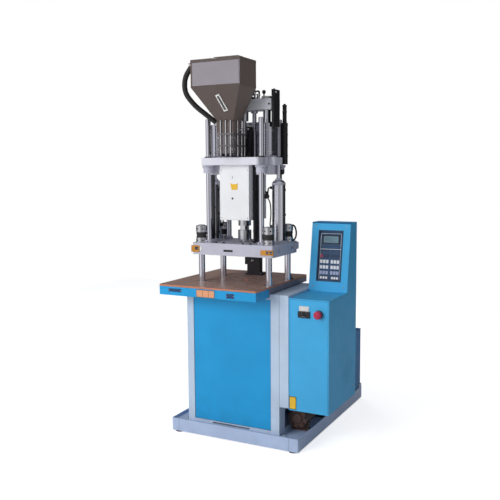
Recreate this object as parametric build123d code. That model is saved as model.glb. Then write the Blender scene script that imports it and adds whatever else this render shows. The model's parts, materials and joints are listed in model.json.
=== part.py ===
from build123d import *
from math import atan, cos, degrees, radians, sin, tan
import os

# Vertical injection moulding machine, millimetres, +Z up.
# Driving dimensions are measured from the tie bar centre axis on the floor.

# Base tray
base_left, base_right = -397.0, 428.0
base_front, base_back = -203.0, 902.0
foot_height = 8.0
base_top = 84.0
tray_floor = 68.0
sheet = 4.0

# Cabinet that carries the bed
cab_half = 299.0
cab_front, cab_back = -169.0, 290.0
cab_top = 875.0
post_left_width = 45.0
post_right_width = 52.0
post_depth = 76.0
rail_height = 30.0
panel_recess = 3.0
side_frame_right = 355.0
side_frame_bottom = 241.0

# Bed and table
table_left, table_right = -381.0, 241.0
table_front, table_back = -335.0, 368.0
table_top_z = 917.0
board = 10.0
apron_bottom = 857.0
bed_bottom = cab_top
board_bottom = table_top_z - board
bush_r = 22.5
post_left, post_right, post_front, post_back, post_top = -92.0, -8.0, 205.0, 250.0, 1120.0
mould_x, mould_y = 200.0, 140.0
knockout_r, mould_bolt_r = 20.0, 6.0

# Clamp
tie_x, tie_y, tie_r = 217.0, 128.0, 18.0
running = 0.05
platen_half = 259.0
platen_front, platen_back = -165.0, 172.0
platen_low, platen_high = 1077.0, 1145.0
nozzle_well_r, locating_recess_r, guide_socket = 32.0, 50.0, 20.0
nut_r, nut_height = 32.0, 96.0
ram_r = 40.0
clamp_cyl_r, clamp_bore = 90.0, 70.0
cross_low, cross_high = 240.0, 300.0
end_nut_height, end_nut_across = 20.0, 50.0
gland_low, gland_high = 590.0, 620.0
piston_height, cap_wall = 35.0, 25.0
low_port_z, high_port_z = 660.0, 805.0
port_face_y, pipe_r = 120.0, 11.0

# Injection unit
rod_x, rod_front_y, rod_back_y, rod_r = 169.0, -120.0, 118.0, 15.0
rod_top = 1850.0
plate_half = 184.0
plate_front, plate_back = -185.0, 150.0
plate_low, plate_high = 1589.0, 1631.0
sensor_y, sensor_step, sensor_top = 115.0, 1830.0, 1929.0
lug_front, lug_back = -64.0, 46.0
duct_x, duct_front, duct_back, duct_low = 96.0, -80.0, -6.0, 1150.0
pad_out, pad_front, pad_back, pad_low = 195.0, -72.0, 60.0, 1535.0
seat_x, seat_y, seat_rod_r = 210.0, 20.0, 12.0
seat_cyl_r, seat_cyl_top, seat_bore = 38.0, 1504.0, 30.0
seat_piston_low = 1330.0
cover_half, cover_front, cover_back = 93.0, -125.0, 96.0
cover_low, cover_wall = 1278.0, 1.5
barrel_low, barrel_rise, nozzle_join = 1300.0, 120.0, 1240.0
nozzle_r = 22.0
barrel_r, screw_r = 42.0, 16.0
nozzle_tip, tip_height, hex_height, nozzle_band_r = 1090.0, 26.0, 26.0, 39.0
band_places = (1312.0, 1386.0, 1460.0, 1530.0)
screw_low, flights_low, flights_high, drive_r = 1400.0, 1430.0, 1702.0, 14.0
inj_x, inj_y, inj_r, inj_top = 157.0, -22.0, 44.0, 1821.0
inj_rod_r, inj_bore, inj_cap, inj_piston_low = 22.0, 32.0, 26.0, 1738.0
head_half, head_depth = 203.0, 62.0
stroke_depth, stroke_front, stroke_back, stroke_low, stroke_high = 15.0, -62.0, 22.0, 1801.0, 2005.0
head_low, head_high = 1896.0, 1956.0

# Hopper
hop_half, hop_front, hop_back = 150.0, -333.0, -142.0
hop_low, hop_high = 2007.0, 2148.0
neck_y, neck_half, neck_z, flange_half = -175.0, 47.0, 1826.0, 52.0
hop_wall = 2.5
lid, lid_gap = 3.0, 0.3
lid_top = hop_high + lid_gap + lid
sight_x, sight_rise, sight_lean = 14.0, 6.0, -16.0
grip_left, grip_right, grip_height = -5.0, 140.0, 4.0
hinge_r, knuckle_in, knuckle_out = 3.2, 100.0, 115.0
hose_start_z, hose_start_y, hose_end_z = 2140.0, -300.0, 1800.0
hopper_hose_r, spigot_wall = 14.0, 3.0
hopper_hose_turns = [(-208.0, -300.0, 2065.0), (-212.0, -296.0, 1985.0), (-166.0, -268.0, 1915.0)]

# Hydraulic power unit behind the cabinet
tank_left, tank_right = -60.0, 421.0
tank_front, tank_back, tank_top = 520.0, 885.0, 488.0
tank_cap_x, tank_cap_y = 340.0, 620.0
pump_x, pump_z, shaft_r = -262.0, 184.0, 12.0
small_hose_r, large_hose_r, small_fitting_r, large_fitting_r = 12.0, 14.0, 16.0, 19.0
cooler_x, cooler_z, cooler_r, cooler_front, cooler_back = 362.0, 152.0, 50.0, -60.0, 300.0
motor_front, motor_back = 560.0, 800.0
bell_length = 70.0
pump_face = motor_front - 12 - bell_length
manifold_low = low_port_z - 40
# Where the hoses leave, turn and end
pressure_start = (pump_x, pump_face - 42, pump_z + 50)
pressure_turn = (-60.0, cab_back + 33, manifold_low - 132)
pressure_end = (-60.0, cab_back + 33, manifold_low)
return_start = (96.0, cab_back + 33, 760.0)
return_turn = (236.0, 420.0, 700.0)
return_end = (255.0, 640.0, tank_top - 2)
suction_start = (pump_x + 52, pump_face - 42, pump_z)
suction_turn = (-30.0, 396.0, pump_z)
suction_end = (140.0, tank_front + 2, pump_z)

# Control box with the slanted console
box_left, box_right = 357.0, 592.0
box_back = 274.0
box_low, ledge_z = 234.0, 864.0
console_bottom_y, console_top_y = 113.0, 172.0
console_top = 1259.0
box_wall = 3.0
box_front = cab_front
box_middle = (box_left + box_right) / 2
recess_width, recess_height, recess_depth, recess_up = 146.0, 290.0, 14.0, 206.0
tray_wall = 3.0
display_up, keypad_up, keypad_height = 301.0, 172.0, 176.0
door_left, door_right, door_low, door_high = 372.0, 577.0, 262.0, 1236.0
hinge_out = 5.2
estop_x, estop_z, estop_stem_r = 534.0, 787.0, 11.0
switch_x, rocker_z, rocker_y = 448.0, 780.0, -172.0

# The frame's origin is the middle of the whole machine's footprint.
shift_x = -(base_left + box_right) / 2
shift_y = -(table_front + base_back) / 2


def block(x0, x1, y0, y1, z0, z1):
    centre = Pos((x0 + x1) / 2, (y0 + y1) / 2, (z0 + z1) / 2)
    return centre * Box(x1 - x0, y1 - y0, z1 - z0)


def rod(x, y, z0, z1, r):
    return Pos(x, y, (z0 + z1) / 2) * Cylinder(r, z1 - z0)


def rod_along_x(x0, x1, y, z, r):
    return Pos((x0 + x1) / 2, y, z) * Rot(0, 90, 0) * Cylinder(r, x1 - x0)


def rod_along_y(x, y0, y1, z, r):
    return Pos(x, (y0 + y1) / 2, z) * Rot(90, 0, 0) * Cylinder(r, y1 - y0)


def ring(x, y, z0, z1, r_out, r_in):
    return rod(x, y, z0, z1, r_out) - rod(x, y, z0 - 1, z1 + 1, r_in)


def hexagon(x, y, z0, z1, across):
    prism = extrude(RegularPolygon(across / 2 / cos(radians(30)), 6), z1 - z0)
    return Pos(x, y, z0) * prism


def shell_box(x0, x1, y0, y1, z0, z1, wall):
    inner = block(x0 + wall, x1 - wall, y0 + wall, y1 - wall, z0 + wall, z1 - wall)
    return block(x0, x1, y0, y1, z0, z1) - inner


def corners(x, y):
    return [(sx * x, sy * y) for sx in (-1, 1) for sy in (-1, 1)]


def joined(shapes):
    whole = shapes[0]
    for shape in shapes[1:]:
        whole = whole + shape
    return whole


def soften(shape, axis, radius):
    return fillet(shape.edges().filter_by(axis), radius)


# Base and cabinet

def make_base_frame():
    outer = soften(block(base_left, base_right, base_front, base_back, foot_height, base_top), Axis.Z, 6)
    wall = 6.0
    above = block(base_left + wall, base_right - wall, base_front + wall, base_back - wall,
                  tray_floor, base_top + 1)
    below = block(base_left + wall, base_right - wall, base_front + wall, base_back - wall,
                  foot_height - 1, tray_floor - sheet)
    frame = outer - above - below
    for x in (-299.0, 0.0, 299.0):
        frame = frame + block(x - 20, x + 20, base_front + wall / 2, base_back - wall / 2,
                              foot_height + 12, tray_floor - sheet / 2)
    for y in (base_front + 3, base_back - 53):
        frame = frame + block(base_left + 3, base_right - 3, y, y + 50, foot_height, foot_height + 10)
    for x, y in foot_places():
        frame = frame - rod(x, y, foot_height - 1, foot_height + 11, 8.05)
    return frame


def foot_places():
    xs = (base_left + 40, base_right - 40)
    ys = (base_front + 30, base_back - 30)
    return [(x, y) for x in xs for y in ys]


def make_levelling_feet():
    feet = []
    for x, y in foot_places():
        pad = rod(x, y, 0, foot_height, 28)
        stud = rod(x, y, foot_height - 1, foot_height + 30, 8)
        feet.append(pad + stud)
    return Compound(children=feet)


def make_cabinet_frame():
    z0 = tray_floor
    right_inner = cab_half - post_right_width
    left_inner = -cab_half + post_left_width
    posts = []
    for x0, x1 in ((-cab_half, left_inner), (right_inner, cab_half)):
        posts.append(block(x0, x1, cab_front, cab_front + post_depth, z0, cab_top))
        posts.append(block(x0, x1, cab_back - 50, cab_back, z0, cab_top))
        posts.append(block(x0, x1, cab_front + 10, cab_back - 10, z0, z0 + 24))
        posts.append(block(x0, x1, cab_front + 10, cab_back - 10, cab_top - rail_height, cab_top))
    for y0, y1 in ((cab_front, cab_front + 16), (cab_back - 40, cab_back)):
        posts.append(block(-cab_half + 5, cab_half - 5, y0, y1, z0, z0 + 26))
        posts.append(block(-cab_half + 5, cab_half - 5, y0, y1, cab_top - rail_height, cab_top))
    frame = joined(posts)
    # Lifting slot in the front rail
    return frame - block(-130, 110, cab_front - 1, cab_front + 17, z0 + 9, z0 + 19)


def panel_span():
    return tray_floor + 26, cab_top - rail_height


def make_front_panel():
    z0, z1 = panel_span()
    left = -cab_half + post_left_width
    right = cab_half - post_right_width
    y0 = cab_front + panel_recess
    sheet_metal = block(left, right, y0, y0 + 2, z0, z1)
    folds = [block(left, left + 2, y0, y0 + 18, z0, z1), block(right - 2, right, y0, y0 + 18, z0, z1),
             block(left, right, y0, y0 + 18, z0, z0 + 2)]
    return joined([sheet_metal] + folds)


def make_left_panel():
    z0, z1 = panel_span()
    x0 = -cab_half + 2
    return block(x0, x0 + 2, cab_front + post_depth, cab_back - 50, z0, z1)


def make_rear_panel():
    z0, z1 = panel_span()
    x0, x1 = -cab_half + post_left_width, cab_half - post_right_width
    panel = block(x0, x1, cab_back - 4, cab_back - 2, z0, z1)
    for row in range(8):
        z = z0 + 70 + row * 16
        panel = panel - block(-120, 120, cab_back - 5, cab_back - 1, z, z + 6)
    for z in (low_port_z, high_port_z):
        panel = panel - rod_along_y(0, cab_back - 6, cab_back, z, pipe_r + 4)
    return panel


def make_cabinet_panels():
    return Compound(children=[make_front_panel(), make_left_panel(), make_rear_panel()])


def make_side_frame():
    frame = shell_box(cab_half, side_frame_right, cab_front, cab_back, side_frame_bottom, cab_top, 3)
    return frame - rod_along_x(cab_half - 1, side_frame_right + 1, 60, 500, 30)


# Bed and table

def make_bed():
    bed = block(-cab_half - 20, table_right - 1, cab_front + 2, table_back - 4, bed_bottom, board_bottom)
    bed = bed - rod(0, 0, bed_bottom - 1, board_bottom + 1, knockout_r + 2)
    for x, y in corners(tie_x, tie_y):
        # The bush bore opens to the bed's side where it runs near it
        bed = bed - rod(x, y, bed_bottom - 1, board_bottom + 1, bush_r)
    return bed


def make_table_top():
    top = block(table_left, table_right, table_front, table_back, board_bottom, table_top_z)
    top = soften(top, Axis.Z, 8)
    for x, y in corners(tie_x, tie_y):
        top = top - rod(x, y, board_bottom - 1, table_top_z + 1, tie_r + 0.6)
    top = top - rod(0, 0, board_bottom - 1, table_top_z + 1, knockout_r)
    for x, y in corners(mould_x / 2, mould_y / 2):
        top = top - rod(x, y, board_bottom - 1, table_top_z + 1, mould_bolt_r)
    return top


def make_table_apron():
    x0, x1 = table_left + 2, table_right - 2
    y0 = table_front + 2
    skin = 3.0
    front = block(x0, x1, y0, y0 + skin, apron_bottom, board_bottom)
    left = block(x0, x0 + skin, y0, table_back - 6, apron_bottom, board_bottom)
    right = block(x1 - skin, x1, y0, cab_front, apron_bottom, board_bottom)
    lip = block(x0, x1, y0, y0 + 20, apron_bottom, apron_bottom + skin)
    ribs = [block(x, x + 4, y0, cab_front, apron_bottom + 10, board_bottom) for x in (-220.0, 100.0)]
    return joined([front, left, right, lip] + ribs)


def make_tie_bar_bushes():
    bushes = [ring(x, y, bed_bottom, board_bottom, bush_r, tie_r + running) for x, y in corners(tie_x, tie_y)]
    return Compound(children=bushes)


# Clamp cylinder and what it moves

def make_clamp_cylinder():
    body = rod(0, 0, gland_high, bed_bottom, clamp_cyl_r)
    whole = body + block(-120, 120, -95, 95, bed_bottom - cap_wall - 3, bed_bottom)
    for z in (low_port_z, high_port_z):
        whole = whole + block(-25, 25, 80, port_face_y, z - 20, z + 20)
    whole = whole - rod(0, 0, gland_high - 1, bed_bottom - cap_wall, clamp_bore)
    return whole - rod(0, 0, bed_bottom - 30, bed_bottom + 1, 12)


def make_cylinder_gland():
    gland = rod(0, 0, gland_low, gland_high, clamp_cyl_r)
    gland = gland - rod(0, 0, gland_low - 1, gland_high + 1, ram_r + running)
    for step in range(8):
        turn = radians(45 * step + 22.5)
        gland = gland + hexagon(79 * cos(turn), 79 * sin(turn), gland_low - 7, gland_low, 11)
    return gland


def make_clamp_ram():
    ram = rod(0, 0, cross_high, gland_high + 10, ram_r)
    piston = rod(0, 0, gland_high + 8, gland_high + 8 + piston_height, clamp_bore - running)
    piston = piston - ring(0, 0, gland_high + 20, gland_high + 26, clamp_bore + 1, clamp_bore - 3)
    return ram + piston


def make_lower_crosshead():
    head = block(-platen_half + 14, platen_half - 14, -150, 150, cross_low, cross_high)
    head = chamfer(head.edges().filter_by(Axis.Z), 20)
    for x, y in corners(tie_x, tie_y):
        head = head - rod(x, y, cross_low - 1, cross_high + 1, tie_r)
    return head


def make_tie_bars():
    bars = []
    for x, y in corners(tie_x, tie_y):
        bar = rod(x, y, cross_low - end_nut_height - 4, platen_high + nut_height + 6, tie_r)
        bars.append(chamfer(bar.edges().filter_by(GeomType.CIRCLE), 2))
    return Compound(children=bars)


def make_moving_platen():
    platen = block(-platen_half, platen_half, platen_front, platen_back, platen_low, platen_high)
    platen = soften(platen, Axis.Z, 10)
    for x, y in corners(tie_x, tie_y):
        platen = platen - rod(x, y, platen_low - 1, platen_high + 1, tie_r)
    for x, y in rod_places():
        platen = platen - rod(x, y, platen_low + guide_socket, platen_high + 1, rod_r)
    # Nozzle well and the recess for the mould's locating ring
    platen = platen - rod(0, 0, platen_low - 1, platen_high + 1, nozzle_well_r)
    platen = platen - rod(0, 0, platen_low - 1, platen_low + 10, locating_recess_r)
    for x, y in corners(mould_x / 2, mould_y / 2):
        platen = platen - rod(x, y, platen_low - 1, platen_low + 30, mould_bolt_r)
    # Slot in the front edge
    return platen - block(-52, 8, platen_front - 1, platen_front + 12, platen_low + 22, platen_low + 34)


def make_tie_bar_nuts():
    nuts = []
    for x, y in corners(tie_x, tie_y):
        lower = ring(x, y, platen_high, platen_high + 26, nut_r, tie_r)
        middle = ring(x, y, platen_high + 26, platen_high + 62, nut_r - 5, tie_r)
        upper = ring(x, y, platen_high + 62, platen_high + nut_height, nut_r, tie_r)
        nuts.append(lower + middle + upper)
    return Compound(children=nuts)


def make_tie_bar_end_nuts():
    nuts = []
    for x, y in corners(tie_x, tie_y):
        nut = hexagon(x, y, cross_low - end_nut_height, cross_low, end_nut_across)
        nuts.append(nut - rod(x, y, cross_low - end_nut_height - 1, cross_low + 1, tie_r))
    return Compound(children=nuts)


def make_corner_blocks():
    blocks = []
    y0 = platen_front
    for x0, x1, z1 in ((-platen_half - 4, -platen_half + 50, 52), (platen_half - 74, platen_half + 4, 42)):
        blocks.append(block(x0, x1, y0 - 6, y0, platen_low + 14, platen_low + z1))
    return Compound(children=blocks)


# Injection unit

def rod_places():
    return [(x, y) for x in (-rod_x, rod_x) for y in (rod_front_y, rod_back_y)]


def make_guide_rods():
    rods = []
    for x, y in rod_places():
        bar = rod(x, y, platen_low + guide_socket, rod_top, rod_r)
        rods.append(chamfer(bar.edges().filter_by(GeomType.CIRCLE).sort_by(Axis.Z)[-1], 2))
    return Compound(children=rods)


def make_seat_cylinders():
    cylinders = []
    for x in (-seat_x, seat_x):
        body = rod(x, seat_y, platen_high, seat_cyl_top, seat_cyl_r)
        body = fillet(body.edges().filter_by(GeomType.CIRCLE).sort_by(Axis.Z)[-1], 24)
        body = body - rod(x, seat_y, platen_high + 20, seat_cyl_top - 60, seat_bore)
        body = body - rod(x, seat_y, platen_high + 20, seat_cyl_top + 1, seat_rod_r + running)
        cylinders.append(body)
    return Compound(children=cylinders)


def make_seat_rods():
    rods = []
    for x in (-seat_x, seat_x):
        bar = rod(x, seat_y, seat_piston_low, plate_high - 6, seat_rod_r)
        piston = rod(x, seat_y, seat_piston_low, seat_piston_low + 30, seat_bore - running)
        rods.append(bar + piston)
    return Compound(children=rods)


def make_injection_plate():
    plate = block(-plate_half, plate_half, plate_front, plate_back, plate_low, plate_high)
    plate = soften(plate, Axis.Z, 18)
    lug = block(-seat_x - 15, seat_x + 15, lug_front, lug_back, plate_low, plate_high)
    plate = plate + soften(lug, Axis.Z, 12)
    # Thick pads under the plate on both sides of the barrel cover
    for x0, x1 in ((-pad_out, -cover_half - 2), (duct_x + 9, pad_out)):
        plate = plate + soften(block(x0, x1, pad_front, pad_back, pad_low, plate_low), Axis.Z, 14)
    plate = plate - rod(0, 0, plate_low - 1, plate_high + 1, barrel_r)
    for x, y in rod_places():
        plate = plate - rod(x, y, plate_low - 1, plate_high + 1, rod_r + 6)
    for x in (-seat_x, seat_x):
        plate = plate - rod(x, seat_y, plate_low - 1, plate_high - 6, seat_rod_r)
    return plate


def make_rod_bushes():
    bushes = []
    for x, y in rod_places():
        sleeve = rod(x, y, plate_low, plate_high, rod_r + 6)
        collar = rod(x, y, plate_low - 44, plate_low, 30)
        flange = rod(x, y, plate_low - 12, plate_low, 36)
        bore = rod(x, y, plate_low - 60, plate_high + 1, rod_r + running)
        bushes.append(sleeve + collar + flange - bore)
    return Compound(children=bushes)


def make_barrel():
    tube = rod(0, 0, barrel_low, plate_high + barrel_rise, barrel_r)
    tube = tube + rod(0, 0, plate_high, plate_high + 14, barrel_r + 24)
    tube = tube - rod(0, 0, barrel_low + 20, plate_high + barrel_rise + 1, screw_r + 0.1)
    tube = tube - rod(0, 0, barrel_low - 10, barrel_low + 30, 6)
    # Feed opening towards the hopper
    return tube - block(-18, 18, -barrel_r - 30, 0, plate_high + 30, plate_high + 84)


def make_heater_bands():
    bands = []
    for z in band_places:
        band = ring(0, 0, z, z + 52, barrel_r + 7, barrel_r)
        band = band - block(-2, 2, -60, 0, z - 1, z + 53)
        bands.append(band + block(-9, 9, barrel_r + 5, barrel_r + 20, z + 14, z + 38))
    bands.append(ring(0, 0, platen_high + 14, nozzle_join - hex_height, nozzle_band_r, nozzle_r))
    return Compound(children=bands)


def make_nozzle():
    shank = rod(0, 0, nozzle_join, barrel_low, nozzle_band_r - 2)
    hexed = hexagon(0, 0, nozzle_join - hex_height, nozzle_join, 50)
    tube = rod(0, 0, nozzle_tip + tip_height, nozzle_join - hex_height, nozzle_r)
    tip = Pos(0, 0, nozzle_tip + tip_height / 2) * Cone(8, nozzle_r, tip_height)
    return shank + hexed + tube + tip - rod(0, 0, nozzle_tip - 1, barrel_low + 10, 2.5)


def make_barrel_cover():
    w = cover_wall
    outer = block(-cover_half, cover_half, cover_front, cover_back, cover_low, plate_low)
    inner = block(-cover_half + w, cover_half - w, cover_front + w, cover_back + 1,
                  cover_low - 1, plate_low + 1)
    return outer - inner


def make_injection_cylinders():
    cylinders = []
    for x in (-inj_x, inj_x):
        body = rod(x, inj_y, plate_high, inj_top, inj_r)
        cap = rod(x, inj_y, inj_top - inj_cap, inj_top, inj_r + 1)
        body = body + cap
        body = body - rod(x, inj_y, plate_high + 20, inj_top - inj_cap, inj_bore)
        cylinders.append(body - rod(x, inj_y, plate_high + 20, inj_top + 1, inj_rod_r + running))
    return Compound(children=cylinders)


def make_injection_rods():
    rods = []
    for x in (-inj_x, inj_x):
        bar = rod(x, inj_y, inj_piston_low, head_high + 14, inj_rod_r)
        piston = rod(x, inj_y, inj_piston_low, inj_piston_low + 26, inj_bore - running)
        rods.append(bar + piston)
    return Compound(children=rods)


def make_crosshead():
    head = block(-head_half, head_half, -head_depth, head_depth, head_low, head_high)
    head = soften(head, Axis.Z, 12)
    for x in (-inj_x, inj_x):
        head = head - rod(x, inj_y, head_low - 1, head_high + 1, inj_rod_r)
    head = head - rod(0, 0, head_low - 1, head_high + 1, 30)
    return head


def make_screw_motor():
    body = rod(0, 0, head_high, head_high + 18, 58) + rod(0, 0, head_high + 18, head_high + 96, 50)
    body = body + block(-28, 28, 30, 70, head_high + 34, head_high + 78)
    body = chamfer(body.edges().filter_by(GeomType.CIRCLE).sort_by(Axis.Z)[-1], 6)
    return body - rod(0, 0, head_high - 1, head_high + 40, drive_r + running)


def make_screw():
    drive = rod(0, 0, flights_high - 2, head_high + 38, drive_r)
    coupling = rod(0, 0, 1840, head_low + 20, 26)
    flights = rod(0, 0, flights_low, flights_high, screw_r)
    for row in range(10):
        z = flights_low + 6 + row * 26
        flights = flights - ring(0, 0, z, z + 20, screw_r + 1, 11)
    tip = Pos(0, 0, (screw_low + flights_low) / 2) * Cone(4, screw_r - 2, flights_low - screw_low)
    return drive + coupling + flights + tip


def make_feed_throat():
    body = block(-50, 50, neck_y - 50, -barrel_r - 26, plate_high + 22, neck_z - 60)
    body = body + block(-34, 34, -barrel_r - 27, -barrel_r, plate_high + 22, plate_high + 100)
    body = body + block(-flange_half, flange_half, neck_y - flange_half, neck_y + flange_half,
                        neck_z - 72, neck_z - 60)
    body = body - rod(0, 0, plate_high - 1, neck_z, barrel_r)
    chute = Pos(0, neck_y, neck_z - 90) * Box(56, 56, 70)
    passage = block(-16, 16, neck_y, 0, plate_high + 32, plate_high + 80)
    return body - chute - passage


def make_hopper_gate():
    y0, y1 = neck_y - 30, neck_y + 30
    plate = block(-36, 58, y0, y1, neck_z - 48, neck_z - 44)
    knob = rod_along_x(58, 76, neck_y, neck_z - 46, 4) + rod_along_x(74, 84, neck_y, neck_z - 46, 8)
    return plate + knob


def cone_frustum(low_half_x, low_y0, low_y1, z_low, high_half_x, high_y0, high_y1, z_high):
    low = Pos(0, (low_y0 + low_y1) / 2, z_low) * Rectangle(2 * low_half_x, low_y1 - low_y0)
    high = Pos(0, (high_y0 + high_y1) / 2, z_high) * Rectangle(2 * high_half_x, high_y1 - high_y0)
    return loft([low, high])


def make_hopper():
    w = hop_wall
    outer = block(-hop_half, hop_half, hop_front, hop_back, hop_low, hop_high)
    outer = outer + cone_frustum(neck_half, neck_y - neck_half, neck_y + neck_half, neck_z,
                                 hop_half, hop_front, hop_back, hop_low)
    inner = block(-hop_half + w, hop_half - w, hop_front + w, hop_back - w, hop_low, hop_high + 1)
    inner = inner + cone_frustum(neck_half - w, neck_y - neck_half + w, neck_y + neck_half - w, neck_z,
                                 hop_half - w, hop_front + w, hop_back - w, hop_low)
    flange = block(-flange_half, flange_half, neck_y - flange_half, neck_y + flange_half, neck_z - 60, neck_z)
    throat = block(-neck_half + w, neck_half - w, neck_y - neck_half + w, neck_y + neck_half - w,
                   neck_z - 61, neck_z + 1)
    slot = block(-36.5, 60, neck_y - 30.5, neck_y + 30.5, neck_z - 48.5, neck_z - 43.5)
    top_spigot, low_spigot, _ = hopper_hose_ends()
    hopper = outer + flange + top_spigot + low_spigot - inner - throat - slot
    for x0, x1 in ((-knuckle_out, -knuckle_in), (knuckle_in, knuckle_out)):
        leaf = block(x0, x1, hop_back - 1, hop_back + 2, hop_high - 24, lid_top)
        hopper = hopper + leaf + rod_along_x(x0, x1, hop_back, lid_top, hinge_r)
    return hopper


def make_hopper_lid():
    z0 = hop_high + lid_gap
    top = block(-hop_half, hop_half, hop_front, hop_back, z0, lid_top)
    for x in (-(knuckle_in + knuckle_out) / 2, (knuckle_in + knuckle_out) / 2):
        top = top - Pos(x, hop_back, lid_top) * Box(knuckle_out - knuckle_in + 1, 9, 9)
    barrel = rod_along_x(-knuckle_in + 0.5, knuckle_in - 0.5, hop_back, lid_top, hinge_r)
    grip = block(grip_left, grip_right, hop_front, hop_front + 60, lid_top - 0.5, lid_top + grip_height)
    return top + barrel + grip


def make_sight_window():
    frame = Box(26, 6, 100) - Box(15, 8, 86)
    return hopper_slope_place() * frame


def hopper_slope_place():
    # The window leans on the sloping front wall of the cone
    slope = (neck_y - neck_half - hop_front) / (hop_low - neck_z)
    z = (hop_low + neck_z) / 2 + sight_rise
    y = hop_front + slope * (hop_low - z)
    return Pos(sight_x, y, z) * Rot(degrees(atan(slope)), 0, 0) * Rot(0, sight_lean, 0) * Pos(0, -3, 0)


def make_hose(name, points, radius):
    route = [Vector(*point) for point in points]
    radii = []
    for before, corner, after in zip(route, route[1:], route[2:]):
        turn = (corner - before).get_angle(after - corner)
        shorter = min((corner - before).length, (after - corner).length)
        radii.append(0.45 * shorter / tan(radians(turn) / 2))
    print(name, "arc radii", [round(value) for value in radii], "diameter", 2 * radius)
    path = FilletPolyline(*route, radius=radii)
    start = Plane(origin=path @ 0, z_dir=path % 0)
    return sweep(start * Circle(radius), path=path)


def stub(start, towards, length, r):
    """A fitting that points at a hose's first turn, and the middle of its end face."""
    origin = Vector(*start)
    direction = (Vector(*towards) - origin).normalized()
    end = origin + direction * length
    solid = Plane(origin=origin, z_dir=direction) * Pos(0, 0, length / 2) * Cylinder(r, length)
    return solid, (end.X, end.Y, end.Z)


def hopper_hose_ends():
    r = hopper_hose_r + spigot_wall
    top_spigot, first = stub((-hop_half + 1, hose_start_y, hose_start_z), hopper_hose_turns[0], 20, r)
    low_spigot, last = stub((-neck_half - 1, neck_y, hose_end_z), hopper_hose_turns[-1], 42, r)
    return top_spigot, low_spigot, (first, last)


def make_hopper_hose():
    first, last = hopper_hose_ends()[2]
    return make_hose("hopper_hose", [first] + hopper_hose_turns + [last], hopper_hose_r)


def make_sensor_and_duct():
    x, y = plate_half + 20, sensor_y
    lower = rod(x, y, plate_low + 4, sensor_step, 18)
    upper = rod(x, y, sensor_step, sensor_top, 12)
    bracket = block(plate_half, x, y - 34, y + 3, plate_low + 8, plate_high - 8)
    sensor = lower + upper + bracket - rod(rod_x, rod_back_y, plate_low - 1, plate_high + 1, rod_r + 6.2)
    duct = block(duct_x, duct_x + 8, duct_front, duct_back, duct_low, plate_low)
    duct = duct - block(duct_x + 2, duct_x + 9, duct_front + 30, duct_front + 36, duct_low - 1, pad_low - 20)
    return Compound(children=[sensor, duct])


def make_stroke_box():
    x0, x1 = head_half, head_half + stroke_depth
    return soften(block(x0, x1, stroke_front, stroke_back, stroke_low, stroke_high), Axis.Z, 4)


# Hydraulic power unit

def make_oil_tank():
    tank = shell_box(tank_left, tank_right, tank_front, tank_back, tray_floor + 20, tank_top, 3)
    tank = tank - rod(tank_cap_x, tank_cap_y, tank_top - 5, tank_top + 1, 30)
    for x0 in (tank_left + 20, tank_right - 60):
        tank = tank + block(x0, x0 + 40, tank_front + 10, tank_back - 10, tray_floor, tray_floor + 20)
    cover = block(tank_left + 60, tank_left + 250, tank_front + 40, tank_back - 40, tank_top, tank_top + 8)
    return tank + cover + return_ends()[1][0] + suction_ends()[1][0]


def make_tank_cap():
    neck = ring(tank_cap_x, tank_cap_y, tank_top - 3, tank_top + 14, 30, 24)
    cap = rod(tank_cap_x, tank_cap_y, tank_top + 14, tank_top + 46, 34)
    cap = chamfer(cap.edges().filter_by(GeomType.CIRCLE).sort_by(Axis.Z)[-1], 5)
    return neck + cap


def make_pump_motor():
    x, z = pump_x, pump_z
    body = rod_along_y(x, motor_front, motor_back, z, 92)
    for step in range(24):
        turn = 15.0 * step
        fin = Box(4, motor_back - motor_front - 80, 12)
        place = Pos(x, (motor_front + motor_back) / 2 - 20, z) * Rot(0, turn, 0)
        body = body + place * Pos(0, 0, 96) * fin
    body = body + rod_along_y(x, motor_back, motor_back + 46, z, 88)
    body = body + rod_along_y(x, motor_front - 12, motor_front, z, 100)
    feet = block(x - 95, x + 95, motor_front + 40, motor_back - 60, tray_floor, tray_floor + 12)
    legs = block(x - 70, x - 46, motor_front + 40, motor_back - 60, tray_floor, z - 50)
    legs = legs + block(x + 46, x + 70, motor_front + 40, motor_back - 60, tray_floor, z - 50)
    box = block(x - 52, x + 52, motor_front + 60, motor_front + 160, z + 80, z + 132)
    body = body + feet + legs + box
    return body - rod_along_y(x, motor_front - 13, motor_front + 40, z, shaft_r + running)


def make_pump_bell():
    x, z = pump_x, pump_z
    end = motor_front - 12
    bell = rod_along_y(x, end - bell_length, end, z, 72) + rod_along_y(x, end - 10, end, z, 90)
    bell = bell - rod_along_y(x, end - bell_length + 10, end + 1, z, 60)
    return bell - rod_along_y(x, end - bell_length - 1, end - bell_length + 11, z, 30)


def make_hydraulic_pump():
    x, z = pump_x, pump_z
    body = rod_along_y(x, pump_face - 70, pump_face - 14, z, 50)
    body = body + rod_along_y(x, pump_face - 14, pump_face, z, 66)
    body = body + rod_along_y(x, pump_face, pump_face + 10, z, 30)
    body = body + rod_along_y(x, pump_face - 92, pump_face - 70, z, 40)
    body = body + block(x - 22, x + 22, pump_face - 62, pump_face - 22, z + 30, z + 62)
    body = body + block(x + 30, x + 62, pump_face - 66, pump_face - 18, z - 24, z + 24)
    body = body + pressure_outlet()[0] + suction_ends()[0][0]
    return body - rod_along_y(x, pump_face - 30, pump_face + 11, z, shaft_r + running)


def make_shaft_coupling():
    x, z = pump_x, pump_z
    end = motor_front - 12
    shaft = rod_along_y(x, end - 92, end + 45, z, shaft_r)
    hubs = rod_along_y(x, end - 52, end - 30, z, 34) + rod_along_y(x, end - 26, end - 4, z, 34)
    spider = rod_along_y(x, end - 30, end - 26, z, 30)
    return shaft + hubs + spider


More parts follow.
